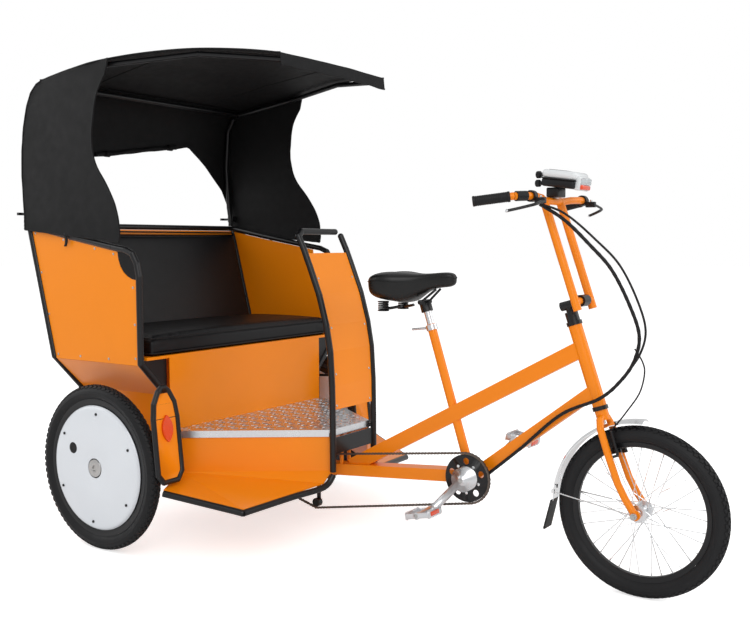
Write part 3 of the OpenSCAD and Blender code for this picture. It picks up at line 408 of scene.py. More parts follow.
def block(name: str, low: Vector, high: Vector, radius: float, finish: Finish,
          turn: Matrix | None = None, steps: int = 3) -> bpy.types.Object:
    """A box with rounded edges, turned about its own middle.

    Args:
        name: name of the piece.
        low: lowest corner in metres.
        high: highest corner.
        radius: radius of its edges in metres.
        finish: its material.
        turn: rotation about its middle.
        steps: segments of each edge.

    Returns:
        The block.
    """
    work = bmesh.new()
    bmesh.ops.create_cube(work, size=1.0)
    size, middle = high - low, (high + low) / 2
    for v in work.verts:
        v.co = Vector(v.co[i] * size[i] for i in range(3))
    bmesh.ops.bevel(work, geom=list(work.edges), offset=radius, segments=steps, affect="EDGES",
                    profile=0.5)
    for v in work.verts:
        v.co = (turn @ v.co if turn else v.co) + middle
    verts = [v.co.copy() for v in work.verts]
    work.verts.index_update()
    faces = [[v.index for v in f.verts] for f in work.faces]
    work.free()
    return build(name, verts, faces, finish, 30)


def copy_of(node: str, name: str, finish: Finish) -> bpy.types.Object:
    """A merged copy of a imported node's mesh in a new finish."""
    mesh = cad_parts[node].data.copy()
    mesh.materials.clear()
    tidy_mesh(mesh)
    mesh.shade_smooth()
    mesh.set_sharp_from_angle(angle=math.radians(30))
    mesh.materials.append(finish.material())
    piece = bpy.data.objects.new(name, mesh)
    bpy.context.collection.objects.link(piece)
    return piece


class Scatter:
    """Geometry Nodes tree that sets one small item on every point of a list."""

    def __init__(self) -> None:
        """Builds the tree once, for every use in the scene."""
        tree = bpy.data.node_groups.new("item_on_every_point", "GeometryNodeTree")
        face = tree.interface
        face.new_socket("Points", in_out="INPUT", socket_type="NodeSocketGeometry")
        self.item = face.new_socket("Item", in_out="INPUT", socket_type="NodeSocketObject")
        self.size = face.new_socket("Size", in_out="INPUT", socket_type="NodeSocketVector")
        self.finish = face.new_socket("Finish", in_out="INPUT", socket_type="NodeSocketMaterial")
        face.new_socket("Mesh", in_out="OUTPUT", socket_type="NodeSocketGeometry")
        nodes, link = tree.nodes, tree.links.new
        given, out = nodes.new("NodeGroupInput"), nodes.new("NodeGroupOutput")
        turn = nodes.new("GeometryNodeInputNamedAttribute")
        turn.data_type = "FLOAT_VECTOR"
        turn.inputs["Name"].default_value = "turn"
        to_rotation = nodes.new("FunctionNodeEulerToRotation")
        item = nodes.new("GeometryNodeObjectInfo")
        copies = nodes.new("GeometryNodeInstanceOnPoints")
        real = nodes.new("GeometryNodeRealizeInstances")
        coat = nodes.new("GeometryNodeSetMaterial")
        link(turn.outputs["Attribute"], to_rotation.inputs[0])
        link(given.outputs["Item"], item.inputs["Object"])
        link(given.outputs["Points"], copies.inputs["Points"])
        link(item.outputs["Geometry"], copies.inputs["Instance"])
        link(to_rotation.outputs[0], copies.inputs["Rotation"])
        link(given.outputs["Size"], copies.inputs["Scale"])
        link(copies.outputs[0], real.inputs[0])
        link(real.outputs[0], coat.inputs["Geometry"])
        link(given.outputs["Finish"], coat.inputs["Material"])
        link(coat.outputs[0], out.inputs[0])
        self.tree = tree

    def __call__(self, name: str, item: bpy.types.Object, places: Sequence[tuple[Vector, Matrix]],
                 finish: Finish, size: Vector = Vector((1, 1, 1))) -> bpy.types.Object:
        """Sets the item on every place.

        Args:
            name: name of the new piece.
            item: the small item, made at the origin; it is removed afterwards.
            places: a point and a rotation for each copy.
            finish: material of the copies.
            size: scale of the item.

        Returns:
            One plain mesh of all the copies.
        """
        mesh = bpy.data.meshes.new(name)
        mesh.from_pydata([tuple(p) for p, _ in places], [], [])
        turn = mesh.attributes.new("turn", "FLOAT_VECTOR", "POINT")
        for i, (_, r) in enumerate(places):
            turn.data[i].vector = r.to_euler()
        holder = bpy.data.objects.new(name, mesh)
        bpy.context.collection.objects.link(holder)
        mod = holder.modifiers.new("items", "NODES")
        mod.node_group = self.tree
        mod[self.item.identifier] = item
        mod[self.size.identifier] = tuple(size)
        mod[self.finish.identifier] = finish.material()
        depsgraph = bpy.context.evaluated_depsgraph_get()
        depsgraph.update()
        plain = bpy.data.meshes.new_from_object(holder.evaluated_get(depsgraph),
                                                depsgraph=depsgraph)
        holder.modifiers.clear()
        holder.data = plain
        bpy.data.objects.remove(item)
        return holder


def looking(way: Vector, up: Vector = Vector((0, 0, 1))) -> Matrix:
    """Rotation that turns +Z to way, and +X as near to up as it can be."""
    z = way.normalized()
    x = up - z * up.dot(z)
    x = z.orthogonal() if x.length < 1e-6 else x
    x.normalize()
    return Matrix((x, z.cross(x), z)).transposed()


def peg(name: str, radius: float, height: float, sides: int, finish: Finish,
        dome: float = 0.0) -> bpy.types.Object:
    """A small peg, bolt head or rod that stands on the origin along +Z, in millimetres."""
    profile = [(0.0, 0.0), (radius, 0.0), (radius, height - dome * 0.6),
               (radius * 0.7, height - dome * 0.15), (0.0, height)]
    if not dome:
        profile = [(0.0, 0.0), (radius, 0.0), (radius, height), (0.0, height)]
    return turned(name, profile, Vector((0, 0, 0)), finish, sides, Vector((0, 0, 1)))


# ---------- wheels ----------


@dataclass
class Tyre:
    """A tyre with rounded carcass, sidewall ribs and rows of tread blocks."""

    name: str
    centre: Vector
    radius: float
    width: float = 54.0
    rows: tuple[float, ...] = (-38.0, -19.0, 0.0, 19.0, 38.0)
    count: int = 72

    def make(self, scatter: Scatter) -> bpy.types.Object:
        """The whole tyre as one piece."""
        half = self.width / 2
        mid = self.radius - half
        bead = self.radius - self.width + 6.3
        profile = []
        for k in range(41):
            a = math.radians(-128 + 256 * k / 40)
            r = half - 3.2 - (0.9 if 62 < abs(math.degrees(a)) < 70 else 0)
            r += 0.9 if 84 < abs(math.degrees(a)) < 90 else 0
            profile.append((mid + r * math.cos(a), r * math.sin(a)))
        profile += [(bead, 13.0), (bead, -13.0)]
        parts = [turned(self.name, profile, self.centre, TYRE_RUBBER, 128)]
        for row, slope in enumerate(self.rows):
            places = []
            a = math.radians(slope)
            for i in range(self.count):
                t = 2 * math.pi * (i + 0.5 * (row % 2)) / self.count
                out = Vector((math.cos(t) * math.cos(a), math.sin(a), math.sin(t) * math.cos(a)))
                ring = Vector((math.cos(t), 0, math.sin(t))) * (mid / 1000)
                spot = self.centre + ring + out * ((half - 3.6) / 1000)
                along = Vector((-math.sin(t), 0, math.cos(t)))
                skew = Matrix.Rotation(math.radians(16 * (-1 if row % 2 else 1)), 3, out)
                places.append((spot, looking(out, skew @ along)))
            item = self._lug()
            parts.append(scatter(self.name + "_tread", item, places, TYRE_RUBBER))
        return joined(self.name, parts)

    def _lug(self) -> bpy.types.Object:
        """One tread block, tapered towards the road."""
        run = 2 * math.pi * self.radius / self.count * 0.34
        low = [(-run, -4.6, 0), (run, -4.6, 0), (run, 4.6, 0), (-run, 4.6, 0)]
        top = [(x * 0.8, y * 0.8, 3.3) for x, y, _ in low]
        verts = [Vector(v) / 1000 for v in low + top]
        faces = [(3, 2, 1, 0), (4, 5, 6, 7)] + [(k, (k + 1) % 4, (k + 1) % 4 + 4, k + 4)
                                               for k in range(4)]
        return build("lug", verts, faces, TYRE_RUBBER, 20)


@dataclass
class FrontWheel:
    """Spoked front wheel: rim, spokes with their nipples, and hub."""

    centre: Vector = field(default_factory=lambda: at(1696, 0, 257))
    radius: float = 257.0
    spokes: int = 36

    def make(self, scatter: Scatter) -> None:
        """Builds the tyre and the wheel, and puts them on the wheel's body."""
        finished(Tyre("front_tyre_piece", self.centre, self.radius).make(scatter),
                 "front_wheel", "front_tyre")
        rim = self.radius - 48
        section = [(rim - 16, -7), (rim - 13, -11), (rim - 3, -13), (rim, -14), (rim, -11.5),
                   (rim - 5, -10), (rim - 6, 0), (rim - 5, 10), (rim, 11.5), (rim, 14),
                   (rim - 3, 13), (rim - 13, 11), (rim - 16, 7)]
        hub = [(5.2, -38), (12, -38), (12, -34), (26, -32), (26, -28.5), (14, -25), (12.5, 0),
               (14, 25), (26, 28.5), (26, 32), (12, 34), (12, 38), (5.2, 38)]
        parts = [turned("rim", section, self.centre, BLACK_TUBE, 128),
                 turned("hub", hub, self.centre, ALUMINIUM, 48)]
        places, nipples = [], []
        span = 0.0
        for i in range(self.spokes):
            side = 1 if i % 2 == 0 else -1
            a = 2 * math.pi * i / self.spokes
            lead = math.radians(62 if i % 4 < 2 else -62)
            start = self.centre + Vector((24 * math.cos(a + lead), side * 31,
                                          24 * math.sin(a + lead))) / 1000
            end = self.centre + Vector(((rim - 15) * math.cos(a), side * 3,
                                        (rim - 15) * math.sin(a))) / 1000
            span = (end - start).length
            turn = looking(end - start)
            places.append((start, turn))
            nipples.append((end - (end - start).normalized() * 0.011, turn))
        rod = peg("spoke", 1.25, 1000.0, 8, STEEL)
        parts.append(scatter("spokes", rod, places, CHROME, Vector((1, 1, span))))
        parts.append(scatter("nipples", peg("nipple", 1.9, 13.0, 8, STEEL), nipples, CHROME))
        finished(joined("front_wheel_spoked", parts), "front_wheel", "front_rim")


@dataclass
class RearWheel:
    """Rear wheel behind white covers, with its bolts, hub cap and valve hole; a black disc paints
    the shade inside the hole.
    """

    side_name: str
    side: int
    radius: float = 286.0
    track: float = 589.0

    def make(self, scatter: Scatter) -> None:
        """Builds one rear wheel and its tyre on their body."""
        centre = at(0, self.side * self.track, self.radius)
        body = "rear_wheel_" + self.side_name
        finished(Tyre("rear_tyre_piece_" + self.side_name, centre, self.radius,
                      count=80).make(scatter), body, "rear_tyre_" + self.side_name)
        rim = self.radius - 48
        out = self.side
        section = [(rim - 26, -9), (rim - 20, -13), (rim, -14), (rim, -11), (rim - 7, -9),
                   (rim - 7, 9), (rim, 11), (rim, 14), (rim - 20, 13), (rim - 26, 9)]
        cover = [(34, 24.6), (40, 25.9), (120, 25.6), (198, 24.6), (207, 23.0), (212, 20.0),
                 (215.5, 14.5), (214, 14.2), (209, 19.0), (205, 21.4), (197, 23.0), (40, 24.0)]
        inner = [(r, -y) for r, y in cover]
        hub = [(10.1, -23), (30, -23), (30, -20), (18, -16), (17, 8), (30, 12), (33, 20),
               (30, 26.6), (19, 28.4), (14, 28.4), (10.1, 27)]

        def sided(profile: Profile) -> Profile:
            """The profile with its outer face on this wheel's side."""
            return [(r, y * out) for r, y in profile]

        parts = [turned("rim", section, centre, BLACK_TUBE, 96),
                 turned("cover", sided(cover), centre, WHITE_COVER, 128),
                 turned("cover_in", sided(inner), centre, WHITE_COVER, 128),
                 turned("hub", sided(hub), centre, STEEL, 48)]
        bolts, washers = [], []
        for y in (1, -1):
            for k in range(6):
                a = math.radians(60 * k + 26)
                way = Vector((0, out * y, 0))
                spot = centre + Vector((0.188 * math.cos(a), 0, 0.188 * math.sin(a)))
                spot += way * 0.0242
                bolts.append((spot, looking(way)))
        parts.append(scatter("bolts", peg("bolt", 5.2, 4.0, 6, BLACK_TUBE, 1.0), bolts,
                             BLACK_TUBE))
        a = math.radians(152)
        spot = centre + Vector((0.125 * math.cos(a), 0, 0.125 * math.sin(a)))
        parts.append(turned("grommet", sided([(9, 26.6), (17, 26.8), (19.5, 25.9), (19.5, 24.5),
                                              (9, 24.5)]), spot, SOFT_RUBBER, 32))
        # A flat black rubber disc closes the valve hole: painted shade standing in for the dark
        # inside of the cover.
        parts.append(turned("grommet_floor", sided([(0, 26.0), (9.5, 26.0), (9.5, 24.9),
                                                    (0, 24.9)]), spot, SOFT_RUBBER, 32))
        finished(joined("rear_wheel_covered_" + self.side_name, parts), body,
                 "rear_wheel_" + self.side_name)


# ---------- drive ----------


@dataclass
class Drive:
    """Chain, chainring with its teeth, cranks and pedals."""

    wheels: tuple[tuple[float, float, float, int], ...] = (
        (1137, 291, 82, -1), (522, 119, 20, -1), (0, 286, 42, -1), (575, 322, 20, 1))
    chain_y: float = -50.0
    pitch: float = 12.7

    def _angle(self, a: Sequence[float], b: Sequence[float]) -> float:
        """Direction of the straight run from one wheel to the next."""
        dx, dz = b[0] - a[0], b[1] - a[1]
        return math.atan2(dz, dx) - math.asin((b[3] * b[2] - a[3] * a[2]) / math.hypot(dx, dz))

    def path(self) -> list[tuple[float, float]]:
        """Close points of the chain's middle line, once round."""
        n, points = len(self.wheels), []
        for i in range(n):
            a, b, c = self.wheels[i], self.wheels[(i + 1) % n], self.wheels[(i + 2) % n]
            t0, t1 = self._angle(a, b), self._angle(b, c)
            start = (a[0] + a[3] * a[2] * math.sin(t0), a[1] - a[3] * a[2] * math.cos(t0))
            end = (b[0] + b[3] * b[2] * math.sin(t0), b[1] - b[3] * b[2] * math.cos(t0))
            span = math.hypot(end[0] - start[0], end[1] - start[1])
            steps = max(2, int(span / 3))
            points += [(start[0] + (end[0] - start[0]) * k / steps,
                        start[1] + (end[1] - start[1]) * k / steps) for k in range(steps)]
            turn = (t1 - t0) % (2 * math.pi)
            if b[3] < 0:
                turn -= 2 * math.pi
            steps = max(2, int(abs(turn) * b[2] / 2))
            for k in range(steps):
                t = t0 + turn * k / steps
                points.append((b[0] + b[3] * b[2] * math.sin(t), b[1] - b[3] * b[2] * math.cos(t)))
        return points

    def _link(self, outer: bool) -> bpy.types.Object:
        """One chain link along +X: two waisted plates and, if inner, its rollers."""
        half, parts = (3.3 if outer else 2.2), []
        shape = []
        for k in range(10):
            a = math.radians(-90 + 180 * k / 9)
            shape.append((self.pitch / 2 + 3.8 * math.cos(a), 3.8 * math.sin(a)))
        shape += [(0, 2.7)] + [(-x, -z) for x, z in shape] + [(0, -2.7)]
        n = len(shape)
        for side in (-1, 1):
            verts = [Vector((x, side * half + t, z)) / 1000 for t in (-0.5, 0.5) for x, z in shape]
            faces = [tuple(range(n - 1, -1, -1)), tuple(range(n, 2 * n))]
            faces += [(k, (k + 1) % n, (k + 1) % n + n, k + n) for k in range(n)]
            parts.append(build("plate", verts, faces, CHAIN_STEEL, 20))
        for x in (-self.pitch / 2, self.pitch / 2):
            r, w = (1.6, 3.6) if outer else (3.2, 1.8)
            parts.append(turned("roller", [(0, -w), (r, -w), (r, w), (0, w)],
                                Vector((x, 0, 0)) / 1000, CHAIN_STEEL, 8))
        return joined("link", parts)

    def chain(self, scatter: Scatter) -> None:
        """Lays the links round the whole path."""
        points = self.path()
        n = len(points)
        run = [0.0]
        for i in range(n):
            a, b = points[i], points[(i + 1) % n]
            run.append(run[-1] + math.hypot(b[0] - a[0], b[1] - a[1]))
        count = int(round(run[-1] / self.pitch / 2)) * 2
        step, i = run[-1] / count, 0
        kinds: tuple[list, list] = ([], [])
        for k in range(count):
            s = step * k
            while run[i + 1] < s:
                i += 1
            t = (s - run[i]) / (run[i + 1] - run[i])
            a, b = points[i % n], points[(i + 1) % n]
            way = Vector((b[0] - a[0], 0, b[1] - a[1])).normalized()
            spot = at(a[0] + (b[0] - a[0]) * t, self.chain_y, a[1] + (b[1] - a[1]) * t)
            turn = Matrix((way, Vector((0, 1, 0)), way.cross(Vector((0, 1, 0))))).transposed()
            kinds[k % 2].append((spot, turn))
        parts = [scatter("links", self._link(outer), places, CHAIN_STEEL)
                 for outer, places in ((True, kinds[0]), (False, kinds[1]))]
        finished(joined("chain_links", parts), "chassis", "chain")

    def crankset(self, scatter: Scatter) -> None:
        """The cranks in bright metal, with a black toothed ring and its bolts."""
        piece = copy_of("crankset", "crankset_piece", ALUMINIUM)
        piece.data.materials.append(BLACK_TUBE.material())
        centre = at(1137, self.chain_y, 291)
        for poly in piece.data.polygons:
            p = poly.center
            if abs(p.y - centre.y) < 0.0026 and (p - centre).length > 0.036:
                poly.material_index = 1
        teeth, bolts = [], []
        for k in range(41):
            a = 2 * math.pi * k / 41
            out = Vector((math.cos(a), 0, math.sin(a)))
            teeth.append((centre + out * 0.0753, looking(out, Vector((0, 1, 0)))))
        for k in range(5):
            a = math.radians(72 * k + 56)
            spot = centre + Vector((math.cos(a), 0, math.sin(a))) * 0.047 - Vector((0, 0.002, 0))
            bolts.append((spot, looking(Vector((0, -1, 0)))))
        tooth = [(-1.0, -2.6, 0), (1.0, -2.6, 0), (1.0, 2.6, 0), (-1.0, 2.6, 0),
                 (-0.5, -0.9, 3), (0.5, -0.9, 3), (0.5, 0.9, 3), (-0.5, 0.9, 3)]
        faces = [(3, 2, 1, 0), (4, 5, 6, 7)] + [(k, (k + 1) % 4, (k + 1) % 4 + 4, k + 4)
                                               for k in range(4)]
        item = build("tooth", [Vector(v) / 1000 for v in tooth], faces, BLACK_TUBE, 20)
        parts = [piece, scatter("teeth", item, teeth, BLACK_TUBE),
                 scatter("ring_bolts", peg("ring_bolt", 5.0, 3.2, 12, CHROME, 1.0), bolts, CHROME)]
        for side in (-1, 1):
            cap = [(0, 8), (9, 8), (9, 11), (6, 12.5), (0, 12.5)]
            parts.append(turned("crank_cap", [(r, side * (y + 84)) for r, y in cap],
                                at(1137, 0, 291), STEEL, 24))
        finished(joined("crankset_piece", parts), "crankset", "crankset")

    def pedals(self, scatter: Scatter) -> None:
        """Two cage pedals with toothed plates and amber reflectors."""
        for name, side in SIDES:
            angle = math.radians(226 if side < 0 else 46)
            x, z = 1137 + 150 * math.cos(angle), 291 + 150 * math.sin(angle)
            centre = at(x, side * 148, z)
            tilt = Matrix.Rotation(math.radians(12 * side), 3, "Y")
            barrel = [(13, -42), (13, -34), (9, -28), (9, 36), (12, 38), (12, 44), (7, 46)]
            axle = [(0, -72), (6.9, -72), (6.9, 44), (0, 44)]
            parts = [turned("axle", [(r, side * y) for r, y in axle], centre, STEEL, 24),
                     turned("barrel", [(r, side * y) for r, y in barrel], centre,
                            ALUMINIUM, 24)]
            for y in (-42, 42):
                low = Vector((-44, y - 1.5, -9)) / 1000
                high = Vector((44, y + 1.5, 9)) / 1000
                parts.append(block("cage_end", centre + low, centre + high, 0.0014, ALUMINIUM,
                                   tilt))
            for s in (-1, 1):
                mid = centre + tilt @ Vector((s * 0.042, 0, 0))
                half = Vector((0.0016, 0.043, 0.011))
                parts.append(block("cage_side", mid - half, mid + half, 0.0012, ALUMINIUM, tilt))
                lens = centre + tilt @ Vector((s * 0.0448, 0, 0))
                half = Vector((0.0016, 0.024, 0.007))
                parts.append(block("lens", lens - half, lens + half, 0.0012, AMBER_LENS, tilt))
                teeth = []
                for k in range(9):
                    for up in (-1, 1):
                        spot = Vector((s * 0.042, -0.036 + 0.009 * k, up * 0.0105))
                        teeth.append((centre + tilt @ spot,
                                      tilt @ looking(Vector((0, 0, up)))))
                parts.append(scatter("pins", peg("pin", 2.0, 3.0, 6, ALUMINIUM), teeth,
                                     ALUMINIUM))
            finished(joined("pedal_piece_" + name, parts), "pedal_" + name, "pedal_" + name)

    def make(self, scatter: Scatter) -> None:
        """Builds the whole drive."""
        self.chain(scatter)
        self.crankset(scatter)
        self.pedals(scatter)


# ---------- seats ----------


def plumped(piece: bpy.types.Object, voxel: float, cap: float,
            pressure: float = 4.0) -> bpy.types.Object:
    """Swells a pad with a short cloth simulation and keeps the result as a plain mesh.

    Args:
        piece: closed mesh at the origin.
        voxel: remesh size in metres.
        cap: furthest a point may move, in metres.
        pressure: pressure inside.

    Returns:
        The same object with its new mesh.
    """
    remesh = piece.modifiers.new("remesh", "REMESH")
    remesh.mode = "VOXEL"
    remesh.voxel_size = voxel
    applied(piece)
    before = [v.co.copy() for v in piece.data.vertices]
    cloth = piece.modifiers.new("cloth", "CLOTH")
    cloth.settings.use_pressure = True
    cloth.settings.uniform_pressure_force = pressure
    cloth.settings.effector_weights.gravity = 0.0
    cloth.settings.quality = 4
    cloth.point_cache.frame_end = 20
    scene = bpy.context.scene
    for number in range(1, 15):
        scene.frame_set(number)
    applied(piece)
    scene.frame_set(1)
    if len(piece.data.vertices) == len(before):
        for v, old in zip(piece.data.vertices, before):
            move = v.co - old
            if move.length > cap:
                v.co = old + move * (cap / move.length)
    piece.data.shade_smooth()
    return piece


@dataclass
class Bench:
    """Bench cushion and backrest in black vinyl with piped seams."""

    lean: float = 14.66

    def _pad(self, name: str, size: Vector, radius: float, crown: float) -> bpy.types.Object:
        """A crowned pad lying in XY with its underside on z = 0, sides pulled in a little."""
        work = bmesh.new()
        bmesh.ops.create_grid(work, x_segments=26, y_segments=44, size=0.5)
        verts, faces = [], []
        count = len(work.verts)
        work.verts.index_update()
        for layer in (0, 1):
            for v in work.verts:
                x, y = v.co.x * 2, v.co.y * 2
                edge = max(abs(x), abs(y))
                bow = (1 - x * x) * (1 - y * y)
                pull = 1 - 0.012 * (1 - y * y) * abs(x) ** 6
                px = x * size.x / 2 * pull
                py = y * size.y / 2 * (1 - 0.006 * (1 - x * x) * abs(y) ** 8)
                z = (size.z - crown + crown * min(1, 1.35 * bow ** 0.35)) if layer else 0.0
                soft = max(0.0, edge - 0.94) / 0.06
                z += (-radius if layer else radius * 0.35) * soft * soft
                verts.append(Vector((px, py, z)))
        for f in work.faces:
            ids = [v.index for v in f.verts]
            faces.append([i + count for i in ids])
            faces.append(list(reversed(ids)))
        for e in work.edges:
            if e.is_boundary:
                a, b = (v.index for v in e.verts)
                faces.append([a, b, b + count, a + count])
        work.free()
        return build(name, verts, faces, SEAT_VINYL, 60)

    def _piping(self, size: Vector, z: float, radius: float = 0.0032) -> bpy.types.Object:
        """Piping round the top edge of a pad."""
        hx, hy, r = size.x / 2 - 0.003, size.y / 2 - 0.003, 0.022
        line = []
        for cx, cy, start in ((hx - r, hy - r, 0), (r - hx, hy - r, 90), (r - hx, r - hy, 180),
                              (hx - r, r - hy, 270)):
            for k in range(6):
                a = math.radians(start + 18 * k)
                line.append(Vector((cx + r * math.cos(a), cy + r * math.sin(a), z)))
        dense = []
        for a, b in zip(line, line[1:] + line[:1]):
            steps = max(1, int((b - a).length / 0.03))
            dense += [a.lerp(b, k / steps) for k in range(steps)]
        return swept("piping", dense, radius, SEAT_VINYL, 8, closed=True)

    def _placed(self, piece: bpy.types.Object, place: Matrix) -> bpy.types.Object:
        """Moves a mesh's own points."""
        piece.data.transform(place)
        return piece

    def cushion(self) -> None:
        """The bench cushion, crowned and piped."""
        low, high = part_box("seat_cushion")
        size = Vector(high) - Vector(low)
        middle = (Vector(high) + Vector(low)) / 2
        place = Matrix.Translation((middle.x, middle.y, low[2] + 0.001))
        body = Vector((size.x - 0.012, size.y - 0.012, size.z - 0.009))
        pad = plumped(self._pad("bench_cushion", body, 0.012, 0.012), 0.0065, 0.006)
        parts = [self._placed(pad, place),
                 self._placed(self._piping(Vector((size.x - 0.008, size.y - 0.008, 0)),
                                           size.z - 0.021), place),
                 self._placed(self._piping(Vector((size.x - 0.008, size.y - 0.008, 0)), 0.009),
                              place)]
        piece = joined("bench_cushion", parts)
        finished(piece, "chassis", "seat_cushion")

    def backrest(self) -> None:
        """The backrest, leaning on the back panel."""
        height = (1122 - 672) / math.cos(math.radians(self.lean)) - 23
        width, thick = 1056.0, 34.0
        start = (672 - 648) / math.cos(math.radians(self.lean))
        origin = at(-296, 0, 648)
        lean = Matrix.Rotation(math.radians(-self.lean), 4, "Y")
        flat = Matrix(((0, 0, 1, 0), (0, 1, 0, 0), (-1, 0, 0, 0), (0, 0, 0, 1)))
        shift = Matrix.Translation(Vector((1.5 + 0.8, 0, start + height / 2)) / 1000)
        place = Matrix.Translation(origin) @ lean @ shift @ flat
        size = Vector((height - 6, width - 8, thick - 4)) / 1000
        pad = plumped(self._pad("bench_backrest", size, 0.01, 0.008), 0.0065, 0.006)
        parts = [self._placed(pad, place),
                 self._placed(self._piping(size + Vector((0.004, 0.004, 0)), size.z - 0.010),
                              place)]
        piece = joined("bench_backrest", parts)
        finished(piece, "chassis", "backrest")

    def make(self) -> None:
        """Builds both pads."""
        self.cushion()
        self.backrest()


@dataclass
class Saddle:
    """Sprung saddle: padded cover with a seam, coil springs, rails and clamp."""

    stations: tuple[tuple[float, float, float, float], ...] = (
        (768, 60, 930, 890), (775, 88, 943, 876), (788, 102, 951, 866), (808, 108, 956, 860),
        (835, 109, 958, 857), (862, 101, 957.5, 853), (888, 84, 955, 851), (910, 66, 952.5, 857),
        (935, 50, 950.5, 874), (962, 38, 950.5, 890), (990, 31, 953, 901), (1020, 28, 955.5, 905),
        (1045, 25, 956, 907), (1060, 17, 951, 913), (1067, 8, 941, 922))

    def cover(self) -> bpy.types.Object:
        """The padded cover as a loft of rounded sections."""
        rings, n = [], 28
        for x, w, top, low in self.stations:
            ring = []
            for k in range(n):
                a = 2 * math.pi * k / n
                c, s = math.cos(a), math.sin(a)
                y = w * math.copysign(abs(c) ** 0.72, c)
                if s >= 0:
                    z = top - (top - low) * 0.34 * (1 - abs(s) ** 0.62)
                    z -= 4.0 * math.exp(-(y / 16) ** 2) if x < 930 else 0
                else:
                    z = low + (top - low) * 0.66 * (1 - abs(s) ** 0.42)
                    y *= 1 - 0.1 * abs(s)
                ring.append(at(x, y, z))
            rings.append(ring)
        verts = [p for ring in rings for p in ring]
        faces = [tuple(range(n)), tuple((len(rings) - 1) * n + k for k in range(n))]
        for i in range(len(rings) - 1):
            faces += [(i * n + k, i * n + (k + 1) % n, (i + 1) * n + (k + 1) % n,
                       (i + 1) * n + k) for k in range(n)]
        piece = build("saddle_cover", verts, faces, SADDLE_SKIN, 180)
        sub = piece.modifiers.new("rounding", "SUBSURF")
        sub.levels = sub.render_levels = 2
        applied(piece)
        piece.data.shade_smooth()
        return piece

    def _welt(self) -> bpy.types.Object:
        """The welt that joins the top of the cover to its skirt."""
        right, left = [], []
        for x, w, top, low in self.stations[1:-1]:
            z = top - (top - low) * 0.30
            right.append(at(x, -w * 0.985, z))
            left.append(at(x, w * 0.985, z))
        x, w, top, low = self.stations[-1]
        line = smooth_line(right + [at(x + 1.5, 0, top - 5)] + left[::-1], 4)
        return swept("saddle_welt", line, 0.0016, SADDLE_SKIN, 6)

    def springs(self) -> bpy.types.Object:
        """Two coil springs, the rails they stand on, and the clamp."""
        parts = [copy_of("saddle_springs", "clamp", BLACK_TUBE)]
        work = bmesh.new()
        work.from_mesh(parts[0].data)
        gone = [v for v in work.verts if v.co.x < AXLE_X + 0.844]
        bmesh.ops.delete(work, geom=gone, context="VERTS")
        bmesh.ops.holes_fill(work, edges=[e for e in work.edges if e.is_boundary], sides=0)
        work.to_mesh(parts[0].data)
        work.free()
        for side in (-1, 1):
            line = []
            for k in range(97):
                t = k / 96
                a = 2 * math.pi * 4.5 * t
                line.append(at(822 + 16 * math.cos(a), side * 62 + 16 * math.sin(a),
                               827 + 28 * t))
            parts.append(swept("coil", line, 0.0027, BLACK_TUBE, 8))
            rail = [at(826, side * 56, 831), at(850, side * 46, 835), at(880, side * 38, 841)]
            parts.append(swept("rail", rail, 0.005, BLACK_TUBE, 10))
            for z in (825.4, 856.0):
                parts.append(turned("cup", [(0, -1.6), (19, -1.6), (20, 0), (19, 1.6), (0, 1.6)],
                                    at(822, side * 62, z), BLACK_TUBE, 28, Vector((0, 0, 1))))
        return joined("saddle_spring_set", parts)

    def make(self) -> None:
        """Builds the saddle on the chassis."""
        piece = joined("saddle_cover", [self.cover(), self._welt()])
        finished(piece, "chassis", "saddle")
        finished(self.springs(), "chassis", "saddle_springs")


# ---------- canopy ----------


def lookup(x: float, table: Sequence[tuple[float, float]]) -> float:
    """Straight-line interpolation in a table of rising keys."""
    if x <= table[0][0]:
        return table[0][1]
    for (a, p), (b, q) in zip(table, table[1:]):
        if x <= b:
            return p + (q - p) * (x - a) / (b - a)
    return table[-1][1]


